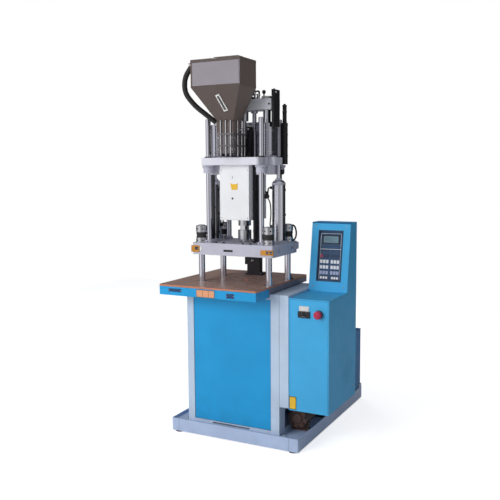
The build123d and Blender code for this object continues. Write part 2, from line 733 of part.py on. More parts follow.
def make_valve_manifold():
    y0 = cab_back
    body = block(-100, 100, y0, y0 + 66, manifold_low, high_port_z + 32)
    pipes = []
    for z in (low_port_z, high_port_z):
        pipes.append(rod_along_y(0, port_face_y, y0, z, pipe_r))
        pipes.append(rod_along_y(0, y0 - 20, y0, z, pipe_r + 2))
    return joined([body] + pipes + [return_ends()[0][0]])


def make_solenoid_valves():
    valves = []
    y0 = cab_back + 66
    for row in range(3):
        z = low_port_z + 8 + row * 66
        body = block(-38, 38, y0, y0 + 50, z - 24, z + 24)
        coils = rod_along_x(-98, 98, y0 + 25, z, 21)
        valve = body + coils
        for x0 in (-92, 62):
            valve = valve + block(x0, x0 + 30, y0 + 10, y0 + 72, z - 14, z + 14)
        valves.append(valve)
    return Compound(children=valves)


def pressure_outlet():
    return stub(pressure_start, pressure_turn, 40, small_fitting_r)


def return_ends():
    return (stub(return_start, return_turn, 34, small_fitting_r),
            stub(return_end, return_turn, 34, small_fitting_r))


def suction_ends():
    return (stub(suction_start, suction_turn, 40, large_fitting_r),
            stub(suction_end, suction_turn, 46, large_fitting_r))


def make_hydraulic_hoses():
    hoses = [make_hose("pressure_hose", [pressure_outlet()[1], pressure_turn, pressure_end], small_hose_r)]
    first, last = return_ends()
    hoses.append(make_hose("return_hose", [first[1], return_turn, last[1]], small_hose_r))
    first, last = suction_ends()
    hoses.append(make_hose("suction_hose", [first[1], suction_turn, last[1]], large_hose_r))
    return Compound(children=hoses)


def make_oil_cooler():
    x, z = cooler_x, cooler_z
    shell = rod_along_y(x, cooler_front, cooler_back, z, cooler_r)
    for y in (cooler_front, cooler_back - 16):
        shell = shell + rod_along_y(x, y, y + 16, z, cooler_r + 7)
    for y in (cooler_front + 40, cooler_back - 70):
        shell = shell + block(x - 50, x + 50, y, y + 26, tray_floor, z - 30)
        shell = shell + rod(x, y + 13, z + 40, z + 68, 14)
    return shell


def make_switch_post():
    x0, x1, y0, y1 = post_left, post_right, post_front, post_back
    post = block(x0, x1, y0, y1, table_top_z, post_top)
    post = post + block(x0 - 14, x1 + 14, y0, y1 + 20, table_top_z, table_top_z + 10)
    for z in (post_top - 140, post_top - 60):
        post = post + block(x0 - 20, x0, y0 + 8, y1 - 8, z, z + 50)
    return post


# Control box and console

def console_profile(inset):
    back = box_back - inset
    lean = (console_top_y - console_bottom_y) / (console_top - ledge_z)
    top = console_top - inset
    shift = inset - lean * inset
    points = [(box_front + inset, box_low + inset), (back, box_low + inset), (back, top),
              (console_top_y + shift, top), (console_bottom_y + shift, ledge_z - inset),
              (box_front + inset, ledge_z - inset)]
    face = make_face(Polyline(*points, close=True))
    return Plane.YZ * face


def extruded_profile(x0, x1, inset):
    return Pos(x0, 0, 0) * extrude(console_profile(inset), x1 - x0, dir=(1, 0, 0))


def on_console(up, out=0.0):
    # A place on the slanted face, measured up its slope from the ledge
    lean = atan((console_top_y - console_bottom_y) / (console_top - ledge_z))
    y = console_bottom_y + up * sin(lean) - out * cos(lean)
    z = ledge_z + up * cos(lean) + out * sin(lean)
    return Pos(box_middle, y, z) * Rot(-degrees(lean), 0, 0)


def make_control_box():
    outer = extruded_profile(box_left, box_right, 0)
    inner = extruded_profile(box_left + box_wall, box_right - box_wall, box_wall)
    box = outer - inner
    box = box - on_console(recess_up) * Box(recess_width, 30, recess_height)
    box = box - block(door_left, door_right, box_back - 6, box_back + 1, door_low, door_high)
    box = box - rod_along_y(estop_x, box_front - 1, box_front + 10, estop_z, estop_stem_r + 0.3)
    box = box - block(switch_x - 12, switch_x + 12, box_front - 1, box_front + 10,
                      rocker_z - 10, rocker_z + 10)
    return box - rod_along_x(box_left - 1, box_left + 10, 60, 500, 30)


def make_control_door():
    gap = 1.0
    x0, x1 = door_left + gap, door_right - gap
    z0, z1 = door_low + gap, door_high - gap
    door = block(x0, x1, box_back - 14, box_back, z0, z1)
    door = door - block(x0 + 2, x1 - 2, box_back - 15, box_back - 2, z0 + 2, z1 - 2)
    for z in (z0 + 60, z1 - 130):
        door = door + rod(x0 + 3, box_back + hinge_out, z, z + 70, hinge_out - 0.2)
        door = door + block(x0 + 3, x0 + 20, box_back - 1, box_back + 2, z, z + 70)
    return door + rod_along_y(x1 - 24, box_back - 12, box_back + 5, (z0 + z1) / 2, 11)


def make_console_bezel():
    depth = recess_depth
    tray = Box(recess_width - 1, depth, recess_height - 1)
    tray = tray - Pos(0, -tray_wall, 0) * Box(recess_width - 7, depth, recess_height - 7)
    return on_console(recess_up, -depth / 2) * tray


def make_display_screen():
    thick = 3.0
    return on_console(display_up, tray_wall + thick / 2 - recess_depth) * Box(94, thick, 44)


def make_keypad():
    thick = 2.0
    place = on_console(keypad_up, tray_wall + thick / 2 - recess_depth)
    pad = Box(recess_width - 14, thick, keypad_height)
    for row in range(5):
        for column in range(6):
            x = -52 + column * 18.4 + (10 if column > 2 else 0)
            z = keypad_height / 2 - 22 - row * 32
            pad = pad + Pos(x, -1.4, z) * Box(14, 1.6, 17)
    return place * pad


def make_switch_plate():
    y0 = box_front - 2
    plate = block(switch_x - 29, switch_x + 29, y0, box_front, rocker_z + 18, rocker_z + 46)
    frame = block(switch_x - 33, switch_x + 33, y0 - 6, box_front, rocker_z - 17, rocker_z + 17)
    frame = frame - block(switch_x - 13, switch_x + 13, y0 - 7, box_front + 1, rocker_z - 11, rocker_z + 11)
    collar = rod_along_y(estop_x, box_front - 5, box_front, estop_z, 19)
    collar = collar - rod_along_y(estop_x, box_front - 6, box_front + 1, estop_z, estop_stem_r + 0.3)
    return Compound(children=[plate, frame, collar])


def make_power_rocker():
    barrel = rod_along_x(switch_x - 11.5, switch_x + 11.5, rocker_y, rocker_z, 9.5)
    return barrel + block(switch_x - 8, switch_x + 8, rocker_y - 17, rocker_y, rocker_z - 3, rocker_z + 3)


def make_estop_button():
    head = rod_along_y(estop_x, box_front - 32, box_front - 14, estop_z, 22)
    head = fillet(head.edges().filter_by(GeomType.CIRCLE).sort_by(Axis.Y)[0], 6)
    stem = rod_along_y(estop_x, box_front - 14, box_front + 14, estop_z, estop_stem_r)
    return head + stem


def make_contactors():
    x0, x1 = box_left + 30, box_right - 30
    plate = block(x0, x1, 40, 43, 280, 820)
    parts = [plate]
    for row, depth in ((700, 60), (560, 74), (430, 50)):
        for column in range(4):
            x = x0 + 8 + column * 42
            parts.append(block(x, x + 36, 43, 43 + depth, row, row + 84))
    parts.append(block(x0 + 20, x1 - 20, 43, 133, 295, 385))
    brackets = block(x0 + 20, x0 + 40, box_front + box_wall, 40, 300, 320)
    brackets = brackets + block(x0 + 20, x0 + 40, box_front + box_wall, 40, 780, 800)
    return joined(parts) + brackets


nodes = {
    "base_frame": make_base_frame,
    "levelling_feet": make_levelling_feet,
    "cabinet_frame": make_cabinet_frame,
    "cabinet_panels": make_cabinet_panels,
    "side_frame": make_side_frame,
    "bed_casting": make_bed,
    "table_top": make_table_top,
    "table_apron": make_table_apron,
    "tie_bar_bushes": make_tie_bar_bushes,
    "clamp_cylinder": make_clamp_cylinder,
    "cylinder_gland": make_cylinder_gland,
    "clamp_ram": make_clamp_ram,
    "lower_crosshead": make_lower_crosshead,
    "tie_bars": make_tie_bars,
    "moving_platen": make_moving_platen,
    "tie_bar_nuts": make_tie_bar_nuts,
    "tie_bar_end_nuts": make_tie_bar_end_nuts,
    "corner_blocks": make_corner_blocks,
    "guide_rods": make_guide_rods,
    "seat_cylinders": make_seat_cylinders,
    "seat_rods": make_seat_rods,
    "injection_plate": make_injection_plate,
    "rod_bushes": make_rod_bushes,
    "barrel": make_barrel,
    "heater_bands": make_heater_bands,
    "nozzle": make_nozzle,
    "barrel_cover": make_barrel_cover,
    "injection_cylinders": make_injection_cylinders,
    "injection_rods": make_injection_rods,
    "injection_crosshead": make_crosshead,
    "screw_motor": make_screw_motor,
    "screw": make_screw,
    "feed_throat": make_feed_throat,
    "hopper_gate": make_hopper_gate,
    "hopper": make_hopper,
    "hopper_lid": make_hopper_lid,
    "sight_window": make_sight_window,
    "hopper_hose": make_hopper_hose,
    "sensor_and_duct": make_sensor_and_duct,
    "stroke_box": make_stroke_box,
    "oil_tank": make_oil_tank,
    "tank_cap": make_tank_cap,
    "pump_motor": make_pump_motor,
    "pump_bell": make_pump_bell,
    "hydraulic_pump": make_hydraulic_pump,
    "shaft_coupling": make_shaft_coupling,
    "valve_manifold": make_valve_manifold,
    "solenoid_valves": make_solenoid_valves,
    "hydraulic_hoses": make_hydraulic_hoses,
    "oil_cooler": make_oil_cooler,
    "switch_post": make_switch_post,
    "control_box": make_control_box,
    "control_door": make_control_door,
    "console_bezel": make_console_bezel,
    "display_screen": make_display_screen,
    "keypad": make_keypad,
    "switch_plate": make_switch_plate,
    "power_rocker": make_power_rocker,
    "estop_button": make_estop_button,
    "contactors": make_contactors,
}

os.makedirs("parts", exist_ok=True)
to_origin = Pos(shift_x, shift_y, 0)
for node, make in nodes.items():
    shape = to_origin * make()
    shape.label = node
    export_step(shape, f"parts/{node}.step")
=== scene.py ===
import json
import math

import bmesh
import bpy
from mathutils import Matrix, Vector


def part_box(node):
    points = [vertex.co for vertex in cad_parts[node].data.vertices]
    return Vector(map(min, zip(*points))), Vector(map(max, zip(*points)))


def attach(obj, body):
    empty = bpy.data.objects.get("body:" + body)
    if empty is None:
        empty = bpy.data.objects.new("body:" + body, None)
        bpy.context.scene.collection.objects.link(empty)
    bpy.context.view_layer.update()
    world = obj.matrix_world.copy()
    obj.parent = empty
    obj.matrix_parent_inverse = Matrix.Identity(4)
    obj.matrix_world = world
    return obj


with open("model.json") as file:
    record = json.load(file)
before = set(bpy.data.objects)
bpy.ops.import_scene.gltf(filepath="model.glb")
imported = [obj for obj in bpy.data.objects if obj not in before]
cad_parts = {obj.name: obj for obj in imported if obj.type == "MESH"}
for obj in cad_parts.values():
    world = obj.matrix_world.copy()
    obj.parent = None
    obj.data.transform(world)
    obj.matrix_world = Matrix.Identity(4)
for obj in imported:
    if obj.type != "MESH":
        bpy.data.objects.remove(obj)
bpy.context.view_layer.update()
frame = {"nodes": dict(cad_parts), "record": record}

# Camera, from the photograph's vanishing lines

CAMERA_PLACE = Vector((1.81275, -3.93663, 1.55))
YAW, PITCH, ROLL = math.radians(27.19), math.radians(6.30), math.radians(0.34)
LENS, SENSOR = 50.87, 36


def make_camera():
    forward = Vector((-math.sin(YAW) * math.cos(PITCH), math.cos(YAW) * math.cos(PITCH), -math.sin(PITCH)))
    right = Vector((math.cos(YAW), math.sin(YAW), 0))
    down = forward.cross(right)
    right_rolled = math.cos(ROLL) * right + math.sin(ROLL) * down
    down_rolled = -math.sin(ROLL) * right + math.cos(ROLL) * down
    turn = Matrix((right_rolled, -down_rolled, -forward)).transposed().to_4x4()
    data = bpy.data.cameras.new("camera")
    data.lens, data.sensor_width = LENS, SENSOR
    data.clip_start, data.clip_end = 0.05, 60
    camera = bpy.data.objects.new("camera", data)
    camera.matrix_world = Matrix.Translation(CAMERA_PLACE) @ turn
    bpy.context.scene.collection.objects.link(camera)
    bpy.context.scene.camera = camera


make_camera()

# Materials

M = {}


class Nodes:
    """A short way to build a node tree."""

    def __init__(self, tree):
        self.tree = tree

    def add(self, kind, **inputs):
        node = self.tree.nodes.new(kind)
        for key, value in inputs.items():
            self.put(node.inputs[key.replace("_", " ")], value)
        return node

    def put(self, socket, value):
        if isinstance(value, bpy.types.NodeSocket):
            self.tree.links.new(value, socket)
        else:
            socket.default_value = value

    def math(self, operation, a, b=0.0):
        node = self.add("ShaderNodeMath")
        node.operation = operation
        self.put(node.inputs[0], a)
        self.put(node.inputs[1], b)
        return node.outputs[0]

    def rays(self, *names):
        """One for rays of these kinds, and zero for the others."""
        path = self.add("ShaderNodeLightPath")
        total = path.outputs[names[0]]
        for name in names[1:]:
            total = self.math("MAXIMUM", total, path.outputs[name])
        return total


class Finish(Nodes):
    """One material. Its colour, wear and relief all come from procedural nodes."""

    def __init__(self, name):
        self.name = name
        self.material = bpy.data.materials.new(name)
        self.material.use_nodes = True
        super().__init__(self.material.node_tree)
        self.shader = self.tree.nodes["Principled BSDF"]

    def place(self):
        return self.add("ShaderNodeTexCoord").outputs["Object"]

    def normal(self):
        return self.add("ShaderNodeNewGeometry").outputs["Normal"]

    def part(self, vector, axis):
        return self.add("ShaderNodeSeparateXYZ", Vector=vector).outputs[axis]

    def noise(self, scale, detail=4.0, rough=0.55, stretch=None):
        place = self.place()
        if stretch:
            place = self.add("ShaderNodeMapping", Vector=place, Scale=stretch).outputs["Vector"]
        node = self.add("ShaderNodeTexNoise", Vector=place, Scale=scale, Detail=detail, Roughness=rough)
        return node.outputs["Fac"]

    def ramp(self, value, low, high, out_low=0.0, out_high=1.0):
        node = self.add("ShaderNodeMapRange")
        for socket, number in zip(node.inputs, (value, low, high, out_low, out_high)):
            self.put(socket, number)
        return node.outputs[0]

    def mix(self, share, first, second):
        node = self.add("ShaderNodeMix")
        node.data_type = "RGBA"
        for index, value in ((0, share), (6, first), (7, second)):
            self.put(node.inputs[index], value)
        return node.outputs[2]

    def edge(self, radius):
        """One where the rounded normal leaves the flat one, which is along worn edges."""
        bevel = self.add("ShaderNodeBevel", Radius=radius)
        bevel.samples = 4
        dot = self.add("ShaderNodeVectorMath")
        dot.operation = "DOT_PRODUCT"
        self.put(dot.inputs[0], bevel.outputs["Normal"])
        self.put(dot.inputs[1], self.normal())
        return bevel.outputs["Normal"], self.ramp(dot.outputs["Value"], 0.98, 0.80)

    def finish(self, colour, roughness, metallic=0.0, bump=None, distance=0.0005, normal=None, **more):
        inputs = {"Base Color": colour, "Roughness": roughness, "Metallic": metallic}
        inputs.update({key.replace("_", " "): value for key, value in more.items()})
        for key, value in inputs.items():
            self.put(self.shader.inputs[key], value)
        if bump is not None:
            node = self.add("ShaderNodeBump", Strength=0.35, Distance=distance, Height=bump)
            if normal is not None:
                self.put(node.inputs["Normal"], normal)
            normal = node.outputs["Normal"]
        if normal is not None:
            self.put(self.shader.inputs["Normal"], normal)
        M[self.name] = self.material


def linear(value):
    return value / 12.92 if value <= 0.04045 else ((value + 0.055) / 1.055) ** 2.4


def rgb(red, green, blue):
    """A colour from 0 to 255, as seen in a picture, in linear light."""
    return (linear(red / 255), linear(green / 255), linear(blue / 255), 1.0)


def shade(colour, factor):
    return tuple(min(1.0, c * factor) for c in colour[:3]) + (1.0,)


def paint(name, colour, roughness, worn=rgb(150, 150, 155), wear=0.35, dirt=0.25, coat=0.06, flank_light=1.0):
    """Sprayed paint: orange peel, faint patches, grime towards the floor and rubbed edges."""
    n = Finish(name)
    normal, edge = n.edge(0.0018)
    base = n.mix(n.ramp(n.noise(5.0, 5), 0.3, 0.7), shade(colour, 0.93), shade(colour, 1.05))
    if flank_light != 1.0:
        # The flanks are rubbed paler than the front
        # Faces turned to either side are painted paler than the front: painted light on the flanks
        out = n.math("ABSOLUTE", n.part(n.normal(), "X"))
        base = n.mix(n.ramp(out, 0.35, 0.85), base, shade(colour, flank_light))
    low = n.ramp(n.part(n.place(), "Z"), 0.35, 0.0, 0.0, dirt)
    grime = n.math("MULTIPLY", low, n.ramp(n.noise(14.0, 6), 0.35, 0.7))
    base = n.mix(grime, base, shade(colour, 0.55))
    rub = n.math("MULTIPLY", n.math("MULTIPLY", edge, n.ramp(n.noise(45.0, 6), 0.5, 0.68)), wear)
    base = n.mix(rub, base, worn)
    rough = n.ramp(n.noise(22.0, 5), 0.3, 0.7, roughness - 0.06, roughness + 0.08)
    peel = n.math("ADD", n.noise(900, 2), n.math("MULTIPLY", n.noise(260.0, 2), 0.4))
    n.finish(base, rough, 0.0, peel, 0.00012, normal, Coat_Weight=coat, Coat_Roughness=0.22,
             Specular_IOR_Level=0.28)


def metal(name, colour, roughness, stretch):
    """Machined metal: fine tool lines, smudges and brighter edges. stretch is the way of the lines."""
    n = Finish(name)
    lines = n.noise(350, 3, 0.6, stretch)
    smudge = n.noise(12.0, 5)
    normal, edge = n.edge(0.0012)
    base = n.mix(n.ramp(smudge, 0.35, 0.7, 0, 0.25), colour, shade(colour, 0.6))
    base = n.mix(n.ramp(lines, 0.3, 0.7, 0, 0.35), base, shade(colour, 0.8))
    base = n.mix(n.math("MULTIPLY", edge, 0.5), base, shade(colour, 1.15))
    rough = n.math("ADD", n.ramp(smudge, 0.3, 0.7, roughness - 0.05, roughness + 0.05),
                   n.ramp(lines, 0.3, 0.7, -0.04, 0.05))
    n.finish(base, rough, 1.0, lines, 0.00008, normal)


def polished(name, colour, roughness, grime=0.15):
    """Ground and plated bar: an even mirror with faint oil film and fine ring marks."""
    n = Finish(name)
    film = n.noise(7.0, 4, 0.5, (1, 1, 0.35))
    rings = n.noise(900.0, 2, 0.5, (0.02, 0.02, 1))
    base = n.mix(n.ramp(film, 0.4, 0.7, 0, grime), colour, shade(colour, 0.62))
    rough = n.math("ADD", n.ramp(film, 0.3, 0.7, roughness - 0.03, roughness + 0.06),
                   n.ramp(rings, 0.4, 0.6, 0.0, 0.03))
    n.finish(base, rough, 1.0, rings, 0.000004)


def board(name, top, rim, roughness):
    """Table board: glossy top with scratches, a paler rim colour painted on its side faces as painted shading, and
    rubbed edges in that colour.
    """
    n = Finish(name)
    normal, edge = n.edge(0.0020)
    patches = n.noise(4.0, 6, 0.6)
    scratch = n.noise(60.0, 4, 0.6, (1, 14, 1))
    base = n.mix(n.ramp(patches, 0.3, 0.7), shade(top, 0.88), shade(top, 1.12))
    base = n.mix(n.ramp(scratch, 0.62, 0.72, 0, 0.12), base, shade(top, 1.4))
    # Faces turned away from up take the rim colour: painted shading on the board's sides
    base = n.mix(n.ramp(n.part(n.normal(), "Z"), 0.9, 0.5), base, rim)
    base = n.mix(n.math("MULTIPLY", edge, 0.55), base, rim)
    rough = n.math("ADD", n.ramp(patches, 0.3, 0.7, roughness - 0.04, roughness + 0.08),
                   n.ramp(scratch, 0.55, 0.75, 0.0, 0.15))
    n.finish(base, rough, 0.0, scratch, 0.00006, normal, Coat_Weight=0.12, Coat_Roughness=0.16,
             Specular_IOR_Level=0.35)


def plastic(name, colour, roughness=0.45, grain=1400, coat=0.0):
    """Moulded plastic, rubber or film: fine grain, faint patches and paler edges."""
    n = Finish(name)
    normal, edge = n.edge(0.0010)
    base = n.mix(n.ramp(n.noise(9.0, 4), 0.3, 0.7), shade(colour, 0.9), shade(colour, 1.08))
    base = n.mix(n.math("MULTIPLY", edge, 0.25), base, shade(colour, 1.5))
    rough = n.ramp(n.noise(40.0, 4), 0.3, 0.7, roughness - 0.07, roughness + 0.07)
    n.finish(base, rough, 0.0, n.noise(grain, 2), 0.0001, normal, Coat_Weight=coat, Coat_Roughness=0.1)


def cast(name, colour, roughness, rust_share=0.0):
    """Painted casting or rusty shell: coarse skin, blotches and rust patches."""
    n = Finish(name)
    blot = n.noise(16.0, 6, 0.6)
    normal, edge = n.edge(0.0018)
    base = n.mix(n.ramp(blot, 0.3, 0.7), shade(colour, 0.82), shade(colour, 1.12))
    rusty = n.math("MULTIPLY", n.ramp(n.noise(24.0, 7, 0.7), 0.48, 0.62), rust_share)
    base = n.mix(rusty, base, rgb(92, 58, 40))
    base = n.mix(n.math("MULTIPLY", edge, 0.3), base, shade(colour, 1.4))
    rough = n.ramp(blot, 0.3, 0.7, roughness - 0.08, roughness + 0.12)
    n.finish(base, rough, 0.15, n.noise(170.0, 5, 0.65), 0.0009, normal)


BLUE_WORN = rgb(150, 185, 205)

# The record's material slots
paint("light_grey_paint", rgb(193, 210, 231), 0.42, wear=0.3, dirt=0.5)
paint("blue_paint", rgb(36, 156, 216), 0.40, BLUE_WORN, 0.3, 0.35)
paint("plate_grey_paint", rgb(192, 192, 207), 0.36, wear=0.5)
board("table_brown", rgb(180, 148, 137), rgb(190, 122, 92), 0.24)
cast("bed_grey", rgb(130, 128, 142), 0.45)
polished("chrome_rod", rgb(214, 214, 224), 0.08)
metal("bright_steel", rgb(205, 205, 210), 0.26, (1, 1, 8))
metal("brass_block", rgb(214, 150, 70), 0.36, (8, 1, 1))
polished("cylinder_grey", rgb(194, 194, 207), 0.18, 0.45)
metal("dark_steel", rgb(78, 78, 84), 0.42, (1, 1, 3))
paint("black_paint", rgb(40, 38, 42), 0.40, rgb(110, 110, 112), 0.4, coat=0.15)
paint("cover_white", rgb(238, 238, 241), 0.40, wear=0.15, dirt=0.0)
# The hopper's flanks are painted 1.9 times paler than its front: painted light
paint("hopper_brown_grey", rgb(94, 83, 79), 0.42, rgb(170, 165, 160), 0.7, flank_light=1.9)
plastic("white_trim", rgb(232, 232, 230), 0.35)
plastic("black_hose", rgb(38, 36, 37), grain=700)
plastic("screen_glass", rgb(98, 132, 150), 0.22)
plastic("keypad_film", rgb(168, 172, 184), 0.30, coat=0.3)
paint("dark_bezel", rgb(42, 68, 108), 0.42, wear=0.2)
plastic("black_plastic", rgb(34, 33, 36))
plastic("red_plastic", rgb(188, 36, 78), 0.34, coat=0.15)
plastic("rubber_pad", rgb(46, 45, 46), 0.7, grain=500)
paint("motor_paint", rgb(98, 112, 128), 0.45, wear=0.3)
cast("cooler_rust", rgb(78, 62, 58), 0.6, 0.8)
paint("tank_blue", rgb(48, 120, 180), 0.42, wear=0.3, dirt=0.4)

# Finishes of single nodes and detail pieces
plastic("seam", rgb(84, 100, 124), 0.7)
paint("yellow_enamel", rgb(236, 190, 60), 0.35, rgb(120, 100, 60), 0.4, 0.2)
paint("orange_enamel", rgb(226, 160, 120), 0.38, rgb(120, 100, 90), 0.5, 0.2)
paint("hopper_panel", rgb(146, 140, 147), 0.42, rgb(210, 205, 208), 0.5)
plastic("pale_key", rgb(238, 240, 246), 0.35)
plastic("lilac_key", rgb(168, 176, 208), 0.35)
plastic("dark_key", rgb(46, 58, 84), 0.35)
plastic("screen_dark", rgb(46, 74, 106))
paint("box_blue", rgb(72, 175, 229), 0.42, BLUE_WORN, 0.3)
paint("base_blue_grey", rgb(182, 198, 228), 0.44, wear=0.3, dirt=0.2)
polished("tube_light", rgb(226, 226, 236), 0.26, 0.2)
paint("throat_grey", rgb(112, 106, 108), 0.4, rgb(190, 190, 195), 0.5)
paint("guard_grey", rgb(132, 132, 143), 0.36, rgb(200, 200, 205), 0.4)
# A paler grey for the crosshead: painted light over the shadow the hopper casts on it
paint("head_grey_painted_light", rgb(232, 232, 240), 0.38, wear=0.4)
paint("plate_light", rgb(222, 222, 232), 0.38, wear=0.4)
plastic("screen_line", rgb(60, 84, 66), 0.3)
polished("white_steel", rgb(236, 236, 240), 0.22)
plastic("black_frame", rgb(30, 32, 38), 0.4)
paint("edge_blue", rgb(24, 92, 146), 0.4)
plastic("dark_glass", rgb(70, 64, 64), 0.08, coat=1.0)

NODE_FINISH = {"seat_cylinders": "tube_light", "feed_throat": "throat_grey", "injection_crosshead": "head_grey_painted_light",
               "injection_plate": "plate_light", "control_box": "box_blue", "base_frame": "base_blue_grey",
               "keypad": "screen_dark", "console_bezel": "screen_dark"}

for row in frame["record"]["subparts"]:
    slots = frame["nodes"][row["node"]].data.materials
    slots.clear()
    slots.append(M[NODE_FINISH.get(row["node"], row["material_slot"])])


# Tools for the detail pieces, in millimetres from the tie bar axis on the floor

bars_low, bars_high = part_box("tie_bars")
AXIS = Vector(((bars_low.x + bars_high.x) / 2, (bars_low.y + bars_high.y) / 2, 0))
MM = 0.001
UP, DOWN, FRONT, BACK, RIGHT, LEFT = (0, 0, 1), (0, 0, -1), (0, -1, 0), (0, 1, 0), (1, 0, 0), (-1, 0, 0)


class Span:
    """The box of a CAD node, in the detail pieces' millimetres."""

    def __init__(self, node):
        low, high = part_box(node)
        self.x0, self.y0, self.z0 = ((low - AXIS) / MM)[:]
        self.x1, self.y1, self.z1 = ((high - AXIS) / MM)[:]
        self.x, self.y, self.z = (self.x0 + self.x1) / 2, (self.y0 + self.y1) / 2, (self.z0 + self.z1) / 2


def at(x, y, z=0.0):
    return Matrix.Translation((x, y, z))


def facing(direction, x, y, z):
    """A place whose local Z points along a direction."""
    return at(x, y, z) @ Vector(direction).to_track_quat("Z", "Y").to_matrix().to_4x4()


def turned_by(degrees, axis):
    return Matrix.Rotation(math.radians(degrees), 4, axis)


def even(count, first=0.0):
    return [first + 360 / count * i for i in range(count)]


def spots(angles, radius, x=0.0, y=0.0):
    """Places on a circle: the way outwards, and the place's two numbers."""
    for angle in angles:
        c, s = math.cos(math.radians(angle)), math.sin(math.radians(angle))
        yield (c, s, 0), x + radius * c, y + radius * s


def pairs(xs, ys):
    return [(x, y) for x in xs for y in ys]


def window(x0, x1, z0, z1, out, inside=0.0):
    """Four bars round an opening, as x0, x1, z0, z1."""
    return ((x0 - out, x1 + out, z0 - out, z0 + inside), (x0 - out, x1 + out, z1 - inside, z1 + out),
            (x0 - out, x0 + inside, z0, z1), (x1 - inside, x1 + out, z0, z1))


def button(r, height, edge, drop=None, hole=0.0, deep=0.0):
    """The profile of a solid disc: its chamfer is edge wide and drop high, and its face may have a hole."""
    face = [(hole, height), (hole, height - deep), (0, height - deep)] if hole else [(0, height)]
    return [(0, 0), (r, 0), (r, height - (drop or edge)), (r - edge, height)] + face


def collar(inner, outer, height, edge, drop=None):
    """The profile of a ring with a chamfer."""
    return [(inner, 0), (outer, 0), (outer, height - (drop or edge)), (outer - edge, height), (inner, height),
            (inner, 0)]


